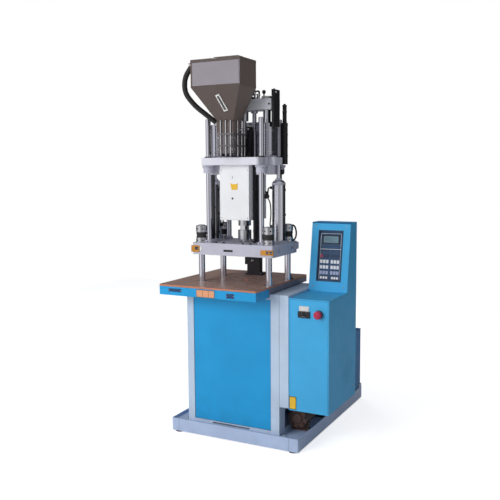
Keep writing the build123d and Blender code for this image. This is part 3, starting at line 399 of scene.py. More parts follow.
class Piece:
    """A detail piece. It rides on a body, and has the finish of its slot or one of its own."""

    made = []

    def __init__(self, name, body, slot, finish=None):
        self.name, self.body, self.slot, self.finish = name, body, slot, M[finish or slot]
        self.mesh = bmesh.new()
        Piece.made.append(self)

    def take(self, part, place=None, bevel=0.0, steps=2):
        """Adds one closed form, with its sharp edges rounded."""
        if bevel:
            sharp = [e for e in part.edges if len(e.link_faces) == 2
                     and e.calc_face_angle(0) > math.radians(40)]
            bmesh.ops.bevel(part, geom=sharp, offset=bevel, segments=steps, affect="EDGES", clamp_overlap=True)
        if place is not None:
            bmesh.ops.transform(part, matrix=place, verts=part.verts)
        bmesh.ops.recalc_face_normals(part, faces=part.faces)
        mesh = bpy.data.meshes.new("part")
        part.to_mesh(mesh)
        part.free()
        self.mesh.from_mesh(mesh)
        bpy.data.meshes.remove(mesh)

    def box(self, x0, x1, y0, y1, z0, z1, bevel=0.8, place=None, steps=2):
        part = bmesh.new()
        bmesh.ops.create_cube(part, size=1.0)
        size = Matrix.Diagonal((abs(x1 - x0), abs(y1 - y0), abs(z1 - z0), 1))
        bmesh.ops.transform(part, matrix=at((x0 + x1) / 2, (y0 + y1) / 2, (z0 + z1) / 2) @ size, verts=part.verts)
        self.take(part, place, bevel, steps)

    def bars(self, rows, y0, y1, bevel):
        """Boxes of one depth, given as x0, x1, z0, z1."""
        for x0, x1, z0, z1 in rows:
            self.box(x0, x1, y0, y1, z0, z1, bevel)

    def slabs(self, rows, z0, z1, bevel, place=None):
        """Boxes of one height, given as x0, x1, y0, y1."""
        for row in rows:
            self.box(*row, z0, z1, bevel, place)

    def turned(self, profile, place, sides=40):
        """A turned form: a profile of (radius, height) pairs about local Z."""
        part = bmesh.new()
        rings = []
        for radius, height in profile:
            if radius < 1e-6:
                rings.append([part.verts.new((0, 0, height))])
            else:
                angles = [math.tau * i / sides for i in range(sides)]
                rings.append([part.verts.new((radius * math.cos(a), radius * math.sin(a), height)) for a in angles])
        for low, high in zip(rings, rings[1:]):
            for i in range(sides):
                j = (i + 1) % sides
                corners = [low[i % len(low)], low[j % len(low)], high[j % len(high)], high[i % len(high)]]
                unique = list(dict.fromkeys(corners))
                if len(unique) > 2:
                    part.faces.new(unique)
        if len(rings[0]) > 1 and len(rings[-1]) > 1 and profile[0] != profile[-1]:
            part.faces.new(rings[0])
            part.faces.new(rings[-1])
        bmesh.ops.remove_doubles(part, verts=part.verts, dist=1e-5)
        self.take(part, place)

    def prism(self, outline, z0, z1, place, bevel=0.5):
        part = bmesh.new()
        face = part.faces.new([part.verts.new((x, y, z0)) for x, y in outline])
        grown = bmesh.ops.extrude_face_region(part, geom=[face])
        moved = [v for v in grown["geom"] if isinstance(v, bmesh.types.BMVert)]
        bmesh.ops.translate(part, vec=(0, 0, z1 - z0), verts=moved)
        self.take(part, place, bevel)

    def hexagon(self, across, z0, z1, place, bevel=0.7, first=0.0):
        corners = spots(even(6, first), across / 2 / math.cos(math.pi / 6))
        self.prism([(x, y) for _, x, y in corners], z0, z1, place, bevel)

    def hex_bolt(self, place, across):
        """A hexagon head on its washer."""
        self.turned([(0, 0), (across * 0.85, 0), (across * 0.85, 1.6), (across * 0.8, 2.0), (0, 2.0)], place, 28)
        self.hexagon(across, 2.0, 2.0 + across * 0.5, place)

    def cap_screw(self, place, r):
        """A socket head screw with its hollow."""
        self.turned([(0, r * 0.5), (r * 0.5, r * 0.5), (r * 0.55, r * 1.15), (r * 0.9, r * 1.15), (r, r), (r, 0),
                     (0, 0)], place, 24)

    def round_screw(self, place, r):
        self.turned([(0, r * 0.45), (r * 0.45, r * 0.42), (r * 0.8, r * 0.28), (r, 0.2), (r, -0.5), (0, -0.5)],
                    place, 20)

    def pipe(self, points, radius):
        """A round bar along a smooth line through the points."""
        line = bpy.data.curves.new("line", "CURVE")
        line.dimensions = "3D"
        spline = line.splines.new("NURBS")
        spline.points.add(len(points) - 1)
        for point, place in zip(spline.points, points):
            point.co = (*place, 1.0)
        spline.order_u = 3
        spline.use_endpoint_u = True
        spline.resolution_u = 8
        line.bevel_depth = radius
        line.bevel_resolution = 3
        line.use_fill_caps = True
        holder = bpy.data.objects.new("line", line)
        mesh = bpy.data.meshes.new_from_object(holder)
        self.mesh.from_mesh(mesh)
        bpy.data.meshes.remove(mesh)
        bpy.data.objects.remove(holder)
        bpy.data.curves.remove(line)

    def done(self):
        """Brings the piece into the frame, in metres."""
        bmesh.ops.transform(self.mesh, matrix=Matrix.Translation(AXIS) @ Matrix.Scale(MM, 4), verts=self.mesh.verts)
        mesh = bpy.data.meshes.new(self.name)
        for face in self.mesh.faces:
            face.smooth = True
        for edge in self.mesh.edges:
            edge.smooth = len(edge.link_faces) == 2 and edge.calc_face_angle(0) < math.radians(38)
        self.mesh.to_mesh(mesh)
        self.mesh.free()
        piece = bpy.data.objects.new(self.name, mesh)
        bpy.context.scene.collection.objects.link(piece)
        mesh.materials.append(self.finish)
        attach(piece, self.body)


# Where the round parts stand, from the tie bar axis
BAR_X, BAR_Y = 217, 128
SEAT_X, SEAT_Y = 210.0, 20.0
ROD_X, ROD_YS = 169.0, (-120.0, 118.0)
INJ_X, INJ_Y = 157.0, -22.0
DUCT_X, DUCT_FRONT = 96.0, -80.0
BOTH = (-1, 1)
RODS = pairs((-ROD_X, ROD_X), ROD_YS)


# Base, cabinet and table

def base_details():
    b, cabinet = Span("base_frame"), Span("cabinet_frame")
    floor = cabinet.z0
    seams = Piece("base_seams", "machine", "light_grey_paint", "seam")
    for x in (b.x0 + 48, b.x1 - 57):
        seams.box(x, x + 1.6, b.y0 - 0.5, b.y0 + 2, b.z0 + 1, b.z1 - 1, 0.2)
        seams.box(x, x + 1.6, b.y0 - 0.4, b.y0 + 6, b.z1 - 1, b.z1 + 0.5, 0.2)
    weld = Piece("base_welds", "machine", "light_grey_paint")
    bead = [(0, b.z0), (3.2, b.z0), (3.4, b.z0 + 4), (3.4, b.z1 - 4), (2.6, b.z1 + 0.2), (0, b.z1 + 0.6)]
    for x, y in pairs((b.x0 + 4.2, b.x1 - 4.2), (b.y0 + 4.2, b.y1 - 4.2)):
        weld.turned(bead, at(x, y), 16)
    weld.box(b.x1 - 6.5, b.x1 - 1.0, b.y1 - 52, b.y1 - 4, b.z1 - 2, b.z1 + 24, 2.2, steps=3)
    bolts = Piece("base_bolts", "machine", "bright_steel")
    for x, y in pairs((cabinet.x0 - 16, cabinet.x1 + 16), (cabinet.y0 + 28, cabinet.y1 - 22)):
        bolts.hex_bolt(facing(UP, x, y, floor), 15)
    for y in (560, 700, 840):
        bolts.hex_bolt(facing(UP, b.x1 - 26, y, floor + 0.2), 13)
    lugs = Piece("cabinet_lugs", "machine", "light_grey_paint")
    for x, y in pairs((cabinet.x0 - 32, cabinet.x1), (cabinet.y0 + 8, cabinet.y1 - 42)):
        lugs.box(x, x + 32, y, y + 40, floor - 0.3, floor + 2.2, 1.0)


def cabinet_details():
    c, p, side = Span("cabinet_frame"), Span("cabinet_panels"), Span("side_frame")
    screws = Piece("panel_screws", "machine", "bright_steel")
    for z in (p.z0 + 40, p.z, p.z1 - 40):
        for y in (c.y0 + 96, c.y1 - 70):
            screws.round_screw(facing(LEFT, c.x0 + 2, y, z), 5)
        for x in (c.x0 + 64, c.x1 - 72):
            screws.round_screw(facing(BACK, x, c.y1 - 2, z), 5)
    gasket = Piece("panel_gasket", "machine", "rubber_pad", "seam")
    left, right = c.x0 + 45, c.x1 - 52
    gasket.bars(((left, left + 2, p.z0, p.z1), (right - 2, right, p.z0, p.z1), (left, right, p.z0, p.z0 + 1.8)),
                c.y0 + 1.6, c.y0 + 7.6, 0.3)
    joint = Piece("side_frame_seam", "machine", "light_grey_paint", "seam")
    joint.box(side.x0 - 0.8, side.x0 + 0.8, side.y0 - 0.5, side.y0 + 1, side.z0, side.z1 - 1, 0.2)
    joint.box(side.x0 - 0.8, side.x0 + 0.8, side.y0, side.y1, side.z1 - 1, side.z1 + 0.5, 0.2)
    lock = Piece("panel_lock", "machine", "black_plastic")
    lock.turned(button(11, 4, 2, 1, 3, 1.5), facing(LEFT, c.x0 + 2, c.y0 + 96, p.z), 28)


def apron_details():
    a = Span("table_apron")
    y = a.y0
    x0, x1, z0, z1 = -132.0, -18.0, 861.0, 900.0
    plate = Piece("apron_plate", "machine", "brass_block", "orange_enamel")
    plate.box(x0, x1, y - 1.2, y + 0.5, z0, z1, 0.5)
    rim = Piece("apron_plate_frame", "machine", "dark_steel")
    rim.bars(window(x0, x1, z0, z1, 2, 1), y - 0.8, y + 0.5, 0.3)
    rim.bars(((x0 + 38, x0 + 40, z0 + 3, z1 - 3), (x0 + 76, x0 + 78, z0 + 3, z1 - 3)), y - 1.5, y, 0.3)
    dark = Piece("apron_blank_plates", "machine", "dark_bezel")
    dark.bars(((-318, -232, 878, 896), (56, 106, 866, 892)), y - 1.0, y + 0.5, 0.5)
    rivets = Piece("apron_rivets", "machine", "bright_steel")
    for x, z in [(-314, 887), (-236, 887), (60, 879), (102, 879)] + pairs((x0 + 5, x1 - 5), (z0 + 6, z1 - 6)):
        rivets.round_screw(facing(FRONT, x, y - 1.0, z), 2.6)
    edge = Piece("apron_end_seam", "machine", "blue_paint", "seam")
    edge.box(a.x1 - 0.6, a.x1 + 0.3, -173, -169, a.z0, a.z1, 0.2)


def table_details():
    t, post = Span("table_top"), Span("switch_post")
    here = t.z1
    rings = Piece("table_rings", "machine", "bright_steel")
    for x, y in pairs((-BAR_X, BAR_X), (-BAR_Y, BAR_Y)):
        rings.turned([(18.7, -3), (18.7, 1.2), (19.2, 1.8), (25.0, 1.8), (25.8, 1.2), (26.0, -0.5), (18.7, -3)],
                     at(x, y, here), 48)
    for x, y in pairs((-100, 100), (-70, 70)):
        rings.turned([(6.1, -4), (6.1, 0.3), (8.6, 0.3), (8.8, -0.3), (6.1, -4)], at(x, y, here), 32)
    rings.turned([(20.2, -5), (20.2, 0.4), (25.0, 0.4), (25.4, -0.3), (20.2, -5)], at(0, 0, here), 48)
    left, right, front, back = t.x0 + 16, t.x1 - 16, t.y0 + 16, t.y1 - 16
    screws = Piece("table_screws", "machine", "dark_steel")
    for x, y in pairs((left, t.x - 90, t.x + 90, right), (front, back)) + pairs((left, right), (-60, 140)):
        screws.turned([(0, -2), (2.6, -1.6), (3, 0.15), (6.2, 0.2), (6.5, -0.4), (0, -3)], at(x, y, here), 24)
    marks = Piece("post_switches", "machine", "bright_steel")
    for z in (post.z0 + 90, post.z0 + 170):
        marks.turned([(0, 0), (9, 0), (9, 4), (6, 7), (6, 12), (4, 14), (0, 14)], facing(FRONT, post.x, post.y0, z),
                     24)
    for x in (post.x0 + 12, post.x1 - 12):
        marks.hex_bolt(facing(UP, x, post.y0 + 12, post.z0 + 10), 8)
    rod = Piece("limit_rod", "machine", "dark_steel")
    rod.pipe([(232, 150, here - 1), (220, 150, 960), (207, 150, 1012), (193, 150, 1068)], 5)
    rod.turned(button(13, 8, 5, 3), facing(UP, 231, 150, here - 0.3), 28)


# Clamp and injection unit

def clamp_details():
    p = Span("moving_platen")
    top = p.z1
    bands = Piece("nut_bands", "clamp", "rubber_pad")
    holes = Piece("nut_pin_holes", "clamp", "dark_steel")
    steel = Piece("nut_washers", "clamp", "bright_steel")
    for x, y in pairs((-BAR_X, BAR_X), (-BAR_Y, BAR_Y)):
        here = at(x, y, top)
        bands.turned([(26.5, 28), (30.6, 29), (30.6, 34), (28.6, 36), (28.6, 44), (30.6, 46), (30.6, 58),
                      (26.5, 60), (26.5, 28)], here)
        for way, hole_x, hole_y in spots(even(6, 14), 32, x, y):
            for level in (13, 79):
                holes.turned([(0, 0.3), (3.2, 0.3), (3.4, 0.8), (4.4, 0.8), (4.6, -1), (0, -1)],
                             facing(way, hole_x, hole_y, top + level), 16)
        steel.turned([(18.2, 96), (24, 96), (24, 99), (22.5, 100.5), (18.2, 100.5), (18.2, 96)], here)
        steel.turned([(0, 102), (6, 102), (7, 101.8), (7, 100), (0, 100)], here, 24)
        steel.turned([(31.9, 1.0), (33.6, 1.0), (33.6, 4.0), (31.9, 4.0), (31.9, 1.0)], here)
    feet = Piece("cylinder_feet", "clamp", "plate_grey_paint")
    bolts = Piece("platen_screws", "clamp", "dark_steel")
    for x in (-SEAT_X, SEAT_X):
        here = at(x, SEAT_Y, top)
        feet.turned(collar(37, 46, 11.5, 1.5), here, 48)
        feet.turned([(37.9, 330), (39.6, 331), (39.6, 343), (37.9, 344), (37.9, 330)], here, 48)
        feet.turned(collar(12.3, 20, 10, 3, 2), here @ at(0, 0, 358), 32)
        for _, bolt_x, bolt_y in spots((40, 140, 220, 320), 41.5, x, SEAT_Y):
            bolts.cap_screw(facing(UP, bolt_x, bolt_y, top + 11.4), 3.6)
    for x, y in RODS:
        feet.turned(collar(15.2, 23, 14.5, 1.5), at(x, y, top))
        side = FRONT if y < 0 else BACK
        bolts.cap_screw(facing(side, x, y + side[1] * 22.6, top + 7), 3.4)
    for x, y in pairs((-110, -60, 60, 110), (p.y0 + 22, p.y1 - 22)):
        bolts.cap_screw(facing(UP, x, y, top - 0.2), 6.5)
    slot = Piece("platen_slot_lining", "clamp", "rubber_pad")
    slot.box(-51.5, 7.5, p.y0 + 2.5, p.y0 + 11.5, p.z0 + 22.4, p.z0 + 33.6, 0.6)
    plugs = Piece("platen_plugs", "clamp", "bright_steel")
    for s, y in pairs(BOTH, (-90, 90)):
        plugs.turned(button(9, 4, 1, 1, 3.4, 3), facing((s, 0, 0), (p.x1 - 0.2) * s, y, p.z), 24)
    stop = Piece("platen_stop", "clamp", "plate_grey_paint")
    stop.box(p.x1 - 2, p.x1 + 14, p.y1 - 44, p.y1 - 6, p.z0 + 22, p.z1 - 4, 3.0)


def corner_details():
    b = Span("corner_blocks")
    y = b.y0
    dark = Piece("corner_block_insets", "clamp", "dark_steel")
    screws = Piece("corner_block_screws", "clamp", "bright_steel")
    pins = Piece("corner_block_pins", "clamp", "bright_steel")
    for x0, x1, z0, z1 in ((-240, -214, 1103, 1123), (219, 236, 1097, 1115), (241, 258, 1097, 1115)):
        dark.box(x0, x1, y - 0.7, y + 1, z0, z1, 0.8)
        for x in (x0 + 4, x1 - 4):
            pins.turned([(0, 0.8), (2, 0.8), (2.6, 0), (0, 0)], facing(FRONT, x, y - 0.7, (z0 + z1) / 2), 16)
    for x, z in ((-256, 1097), (-256, 1123), (-216, 1096), (192, 1097), (192, 1113)):
        screws.round_screw(facing(FRONT, x, y, z), 2.8)
    spacer = Piece("corner_spacer", "clamp", "white_trim")
    spacer.box(-208, -196, b.y1 - 2.0, b.y1 + 0.5, 1098, 1126, 0.6)


def cylinder_lines():
    """Ports, small pipes and rails on the seat cylinders."""
    rails = Piece("cylinder_rails", "clamp", "black_paint")
    fittings = Piece("cylinder_fittings", "clamp", "dark_steel")
    pipes = Piece("cylinder_pipes", "clamp", "black_hose")
    y = SEAT_Y
    for s in BOTH:
        face, body = s * (SEAT_X - 36), s * 132
        for z in (1460, 1238):
            port = facing((-s, 0, 0), face, y, z)
            fittings.turned(button(11, 6, 1.4, 1), port, 28)
            fittings.hexagon(15, 6, 17, port)
        fittings.turned([(0, -13), (12, -13), (14, -11), (14, -3), (12.6, -1), (12.6, 3), (14, 5), (14, 11),
                         (12, 13), (0, 13)], facing(FRONT, body, y, 1410), 32)
        fittings.turned([(0, 0), (6, 0), (6, 9), (9, 10), (9, 17), (7, 19), (0, 19)], facing(UP, body, y, 1420), 24)
        pipes.pipe([(face - s * 14, y, 1460), (face - s * 24, y, 1460), (face - s * 32, y, 1452),
                    (body + s * 10, y, 1428), (body + s * 6, y, 1414)], 4.2)
        pipes.pipe([(body + s * 6, y, 1402), (body + s * 22, y, 1384), (body + s * 28, y, 1340),
                    (s * 160, y, 1290), (s * 152, y, 1240), (face - s * 14, y, 1238)], 3.6)
    for x, rail_y in ((-177, -10), (246, 8)):
        rails.box(x - 7, x + 7, rail_y - 6, rail_y + 6, 1160, 1478, 1.2)
        for z in (1190, 1300, 1440):
            rails.box(x - 9, x + 9, rail_y - 4, rail_y + 12, z, z + 14, 1.2)
    cable = Piece("nut_cable", "clamp", "black_hose")
    cable.pipe([(236, 128, 1236), (252, 130, 1244), (266, 136, 1222), (268, 142, 1180), (252, 146, 1150),
                (240, 148, 1147)], 5)
    cable.turned(button(8, 12, 1.5, 2), facing(UP, 240, 148, 1144.8), 24)
    cable.turned(button(8, 12, 2, 4), facing(RIGHT, 226, 128, 1236), 24)


def injection_details():
    p, cylinders, duct = Span("injection_plate"), Span("injection_cylinders"), Span("sensor_and_duct")
    pad_low = Span("rod_bushes").z1 - 54
    top, head = p.z1, cylinders.z1
    feet = Piece("injection_feet", "injection", "plate_grey_paint")
    caps = Piece("injection_glands", "injection", "bright_steel")
    bolts = Piece("injection_screws", "injection", "dark_steel")
    for x in (-INJ_X, INJ_X):
        feet.turned(collar(43, 54, 10.5, 1.5), at(x, INJ_Y, top), 56)
        caps.turned(collar(22.3, 31, 3.6, 1), at(x, INJ_Y, head))
        for _, bolt_x, bolt_y in spots(even(6, 30), 38, x, INJ_Y):
            bolts.cap_screw(facing(UP, bolt_x, bolt_y, head - 0.4), 3.2)
        for _, bolt_x, bolt_y in spots((35, 145, 215, 325), 49, x, INJ_Y):
            bolts.cap_screw(facing(UP, bolt_x, bolt_y, top + 10.3), 3.8)
        for z in (top + 26, head - 44):
            caps.turned([(43.8, 0), (45.6, 0.8), (45.6, 9), (43.8, 10), (43.8, 0)], at(x, INJ_Y, z), 56)
    for _, x, y in spots(even(8, 22.5), 56):
        bolts.cap_screw(facing(UP, x, y, top + 13.8), 4.6)
    wipers = Piece("rod_wipers", "injection", "rubber_pad")
    for x, y in RODS:
        for _, bolt_x, bolt_y in spots(even(4, 45), 32.8, x, y):
            bolts.cap_screw(facing(DOWN, bolt_x, bolt_y, pad_low + 0.2), 2.6)
        wipers.turned(collar(15.4, 24, 7.5, 3, 2.5), at(x, y, top))
    knob = Piece("pad_knob", "injection", "black_plastic")
    place = facing(RIGHT, 194.5, 48, 1549)
    knob.turned([(0, 0), (8, 0), (8, 14), (13, 15), (15, 18), (15, 30), (12.5, 33), (0, 34)], place, 32)
    knob.hexagon(19, 2, 9, place)
    knob.turned([(0, 0), (6, 0), (6, 8), (9, 9), (9, 15), (0, 16)], facing(LEFT, -194.5, 30, 1552), 28)
    clips = Piece("duct_clips", "injection", "dark_steel")
    for z in (1210, 1330, 1450, 1545):
        clips.box(DUCT_X - 1, DUCT_X + 9.6, DUCT_FRONT - 1.2, DUCT_FRONT + 1, z, z + 12, 0.6)
        clips.box(DUCT_X + 8, DUCT_X + 9.4, DUCT_FRONT - 1, DUCT_FRONT + 75, z, z + 12, 0.4)
        clips.round_screw(facing(RIGHT, DUCT_X + 9.4, DUCT_FRONT + 58, z + 6), 3)
    cable = Piece("duct_cable", "injection", "black_hose")
    cable.pipe([(DUCT_X + 4, DUCT_FRONT + 20, duct.z0 + 8), (DUCT_X + 5, DUCT_FRONT + 18, duct.z0 - 6),
                (DUCT_X - 20, -70, duct.z0 + 8), (60, -50, 1200), (40, -10, 1204)], 3.4)


def feed_details():
    """Air pipes, the small valve beside the feed throat, and the guard and duct around it."""
    f = Span("feed_throat")
    front, side, low, high = f.y0, 50, Span("injection_plate").z1, 1832
    tubes = Piece("feed_tubes", "injection", "bright_steel", "white_steel")
    guard = Piece("rear_guard", "injection", "dark_steel", "guard_grey")
    flutes = Piece("rear_tubes", "injection", "cylinder_grey")
    duct = Piece("left_duct", "injection", "black_paint")
    ribs = Piece("feed_tube_clamps", "injection", "dark_steel", "throat_grey")
    for x, y in pairs((-24, 8, 38), (front - 6,)) + pairs((side + 7,), (-186, -140, -104)):
        tubes.turned([(0, low), (3.4, low), (3.4, high - 4), (2.4, high), (0, high)], at(x, y), 20)
        ribs.turned(button(6.5, 10, 2), at(x, y, low), 20)
    for z in (1690, 1752):
        ribs.box(-34, 46, front - 10.5, front - 4, z, z + 9, 1.0)
        ribs.box(side - 2, side + 11, -196, -96, z, z + 9, 1.0)
    guard.box(-192, 190, 73, 75, low, 1838, 0.6)
    guard.box(-192, 190, 68, 75, low, low + 3, 0.8)
    for x in range(-183, 190, 26):
        flutes.turned([(0, low + 4), (6.5, low + 4), (6.5, 1832), (5.5, 1834), (0, 1834)], at(x, 73), 20)
    duct.box(-185, -166, -66, -54, 1160, 1536, 2.0)
    for z in (1180, 1340, 1500):
        duct.box(-187, -164, -68, -53, z, z + 12, 1.2)
    valve = Piece("feed_valve", "injection", "black_paint")
    valve.box(56, 80, -78, -42, low, 1802, 1.6)
    valve.box(52, 84, -84, -38, low, low + 8, 1.2)
    for z in (1668, 1706, 1744, 1782):
        valve.box(55, 81, -79, -41, z, z + 3, 0.6)
    cap = Piece("feed_valve_cap", "injection", "white_trim")
    cap.box(58, 78, -76, -44, 1802, 1811, 2.0)
    cap.turned(button(5, 6, 1.4, 1), facing(FRONT, 68, -78, 1790), 20)
    screws = Piece("feed_screws", "injection", "bright_steel")
    for z in (f.z0 + 22, f.z0 + 84):
        for x in (-42, 44):
            screws.cap_screw(facing(FRONT, x, front + 2.2, z), 4.2)
        for y in (front + 14, -80):
            screws.cap_screw(facing(RIGHT, side - 0.2, y, z), 4.2)
            screws.cap_screw(facing(LEFT, -side + 0.2, y, z), 4.2)


def cover_details():
    c = Span("barrel_cover")
    y = c.y0
    x0, x1, z0, z1 = -25.0, 23.0, 1450.0, 1487.0
    plate = Piece("cover_plate", "injection", "brass_block", "yellow_enamel")
    plate.prism([(x0, z1), (x0 + 8, z0 + 3), (x0 + 11, z0), (x1 - 6, z0), (x1 - 3, z0 + 3), (x1, z1),
                 (x1 - 13, z1 - 5), (x0 + 14, z1 - 5)], -1.2, 0.3,
                at(0, y) @ turned_by(90, "X") @ Matrix.Scale(-1, 4, UP), 0.3)
    latch = Piece("cover_latch", "injection", "dark_steel")
    latch.box(-13.5, -10.5, y - 0.8, y + 0.3, 1511, 1528, 0.6)
    latch.turned([(0, 0.5), (2.6, 0.5), (3.0, 1.6), (5.4, 1.6), (6.2, 0.6), (6.4, -0.4), (0, -0.4)],
                 facing(FRONT, -12, y, 1401), 28)
    screws = Piece("cover_screws", "injection", "bright_steel")
    for x in (x0 + 15, x1 - 10):
        screws.round_screw(facing(FRONT, x, y - 1.2, z0 + 5), 1.8)
    for x, z in pairs((c.x0 + 9, c.x1 - 9), (c.z0 + 12, c.z1 - 30)):
        screws.round_screw(facing(FRONT, x, y, z), 3.4)
    for z in (c.z0 + 16, c.z, c.z1 - 30):
        screws.round_screw(facing(RIGHT, c.x1, y + 14, z), 3.0)
        screws.round_screw(facing(LEFT, c.x0, y + 14, z), 3.0)
    folds = Piece("cover_folds", "injection", "cover_white")
    folds.box(c.x0 + 4, c.x1 - 4, y - 0.7, y + 0.5, c.z0 + 2.5, c.z0 + 4.5, 0.4)
    slots = Piece("cover_vents", "injection", "rubber_pad", "seam")
    for x, s in ((c.x0, -1), (c.x1, 1)):
        folds.box(*sorted((x + 0.9 * s, x - 0.6 * s)), y + 24, c.y1 - 6, c.z0 + 4, c.z0 + 10, 0.5)
        for z in range(1330, 1442, 14):
            slots.box(*sorted((x + 0.5 * s, x - 0.4 * s)), y + 60, y + 130, z, z + 5, 0.4)


def crosshead_details():
    h, m, s = Span("injection_crosshead"), Span("screw_motor"), Span("stroke_box")
    top = h.z1
    nuts = Piece("crosshead_nuts", "injection_head", "bright_steel")
    for x in (-INJ_X, INJ_X):
        place = at(x, INJ_Y, top)
        nuts.turned(collar(22.4, 34, 4, 1), place)
        nuts.hexagon(53.2, 4, 15.5, place, 1.0, 30)
        nuts.turned([(0, 15.4), (9, 15.4), (10, 15.0), (10, 13.0), (0, 13.0)], place, 28)
    fittings = Piece("crosshead_fittings", "injection_head", "bright_steel", "white_steel")
    for x, y, tall in ((64, 12, 32), (86, 20, 24), (110, -40, 18)):
        place = at(x, y, top)
        fittings.turned([(0, 0), (11, 0), (11, 5), (0, 5)], place, 28)
        fittings.hexagon(17, 5, 14, place)
        fittings.turned([(0, 14), (6, 14), (6, tall), (8.5, tall + 1), (8.5, tall + 9), (7, tall + 11),
                         (0, tall + 11)], place, 24)
    hoses = Piece("crosshead_hoses", "injection_head", "black_hose")
    hoses.pipe([(64, 12, top + 40), (64, 14, top + 56), (58, 18, top + 66), (44, 24, top + 66), (34, 34, top + 60)],
               5)
    hoses.pipe([(86, 20, top + 32), (87, 26, top + 46), (78, 36, top + 54), (52, 44, top + 54), (26, 48, top + 52)],
               5)
    knob = Piece("crosshead_knob", "injection_head", "black_plastic")
    knob.turned([(0, 0), (9, 0), (9, 4), (4, 6), (4, 30), (8, 33), (10.5, 39), (10.5, 46), (8, 51), (0, 53)],
                at(132, -8, top), 28)
    knob.turned(button(7, 12, 2), at(178, 34, top), 24)
    axis, under, low = at(70, -6), h.z0, h.z0 - 265
    guide = Piece("head_guide", "injection_head", "cylinder_grey")
    guide.turned([(0, 1722), (11, 1722), (12, 1724), (12, under + 1), (0, under + 1)], axis, 32)
    guide.turned([(11.5, under - 14), (20, under - 14), (20, under + 0.5), (11.5, under + 0.5), (11.5, under - 14)],
                 axis, 32)
    sleeve = Piece("head_guide_sleeve", "injection", "cylinder_grey")
    sleeve.turned(collar(13, 17, 150, 1, 2), axis @ at(0, 0, low))
    sleeve.turned([(16.5, low), (26, low), (26, low + 10), (16.5, low + 12), (16.5, low)], axis)
    bolts = Piece("crosshead_screws", "injection_head", "dark_steel")
    for x, y in pairs((-84, 84), (h.y0 + 14, h.y1 - 14)):
        bolts.cap_screw(facing(UP, x, y, top - 0.2), 6.5)
    for _, x, y in spots(even(6, 30), 54):
        bolts.cap_screw(facing(UP, x, y, m.z0 + 17.8), 3.6)
    for x in (-190, 190):
        bolts.cap_screw(facing(FRONT, x, h.y0 + 0.2, h.z), 5)
    lamp = Piece("stroke_box_lamp", "injection_head", "white_trim")
    lamp.turned(button(6, 5.5, 1.5), facing(RIGHT, s.x1 - 0.2, s.y0 + 24, s.z1 - 15), 24)
    lamp.turned(button(4, 7, 1), facing(UP, s.x, s.y0 + 22, s.z1), 20)
    trim = Piece("stroke_box_trim", "injection_head", "dark_steel")
    for z in (s.z0 + 8, s.z1 - 32):
        trim.box(s.x1 - 0.5, s.x1 + 0.8, s.y0 + 2, s.y1 - 2, z, z + 3, 0.4)
    trim.box(s.x1 - 0.5, s.x1 + 1.4, s.y0 + 34, s.y0 + 40, s.z0 + 20, s.z1 - 40, 0.6)
    for y, z in pairs((s.y0 + 8, s.y1 - 8), (s.z0 + 16, s.z1 - 22)):
        trim.round_screw(facing(RIGHT, s.x1, y, z), 3)
    rings = Piece("sensor_rings", "injection", "black_plastic")
    axis = at(204, 115)
    for r, heights in ((18, (1640, 1700, 1760, 1815)), (12, (1834, 1890, 1924))):
        for z in heights:
            rings.turned([(r - 0.5, z), (r + 1.6, z), (r + 1.6, z + 6), (r - 0.5, z + 7), (r - 0.5, z)], axis, 28)
    rings.turned([(0, 1929), (8, 1929), (8, 1935), (5, 1938), (0, 1938)], axis, 24)


# Hopper

HOSE_R, CLIP_R = 14.0, 17.0


def along_hose(points, share=0.45, step=6.0):
    """Points on the middle line of the fixed hopper hose.

    The route's corners are rounded with arcs, as in its solid, and its runs are divided.
    """
    points = [Vector(p) for p in points]
    line = [points[0]]
    for before, corner, after in zip(points, points[1:], points[2:]):
        first, second = before - corner, after - corner
        reach = share * min(first.length, second.length)
        a, b = corner + first.normalized() * reach, corner + second.normalized() * reach
        half = first.angle(second) / 2
        centre = corner + (first.normalized() + second.normalized()).normalized() * (reach / math.cos(half))
        radius = (a - centre).length
        sweep = (a - centre).angle(b - centre)
        count = max(2, int(radius * sweep / step))
        u, w = (a - centre).normalized(), (b - centre).normalized()
        for i in range(count + 1):
            t = i / count
            out = math.sin((1 - t) * sweep) * u + math.sin(t * sweep) * w
            line.append(centre + radius * out / math.sin(sweep))
    line.append(points[-1])
    dense = [line[0]]
    for a, b in zip(line, line[1:]):
        count = max(1, round((b - a).length / step))
        dense += [a + (b - a) * (i + 1) / count for i in range(count)]
    return dense


def hose_rings(piece, line, gap=7.0):
    """Ribs around the hose at even gaps."""
    r = HOSE_R
    run = gap / 2
    for a, b in zip(line, line[1:]):
        length = (b - a).length
        while run <= length and length > 1e-6:
            piece.turned([(r - 0.6, -1.5), (r + 0.77, -1.0), (r + 1.1, 0), (r + 0.77, 1.0), (r - 0.6, 1.5),
                          (r - 0.6, -1.5)], facing(b - a, *(a + (b - a) * run / length)), 22)
            run += gap
        run -= length


def clamp_band(piece, start, towards, along):
    """A worm drive hose clip."""
    way = (towards - start).normalized()
    here = facing(way, *(start + way * along))
    r = CLIP_R
    piece.turned([(r, -5), (r + 1.2, -5), (r + 1.2, 5), (r, 5), (r, -5)], here, 36)
    piece.box(r - 1, r + 7, -7, 7, -5.5, 5.5, 1.2, here)
    piece.turned([(0, 0), (3.4, 0), (3.4, 5), (0, 5)], here @ at(r + 3, 7) @ turned_by(-90, "X"), 16)


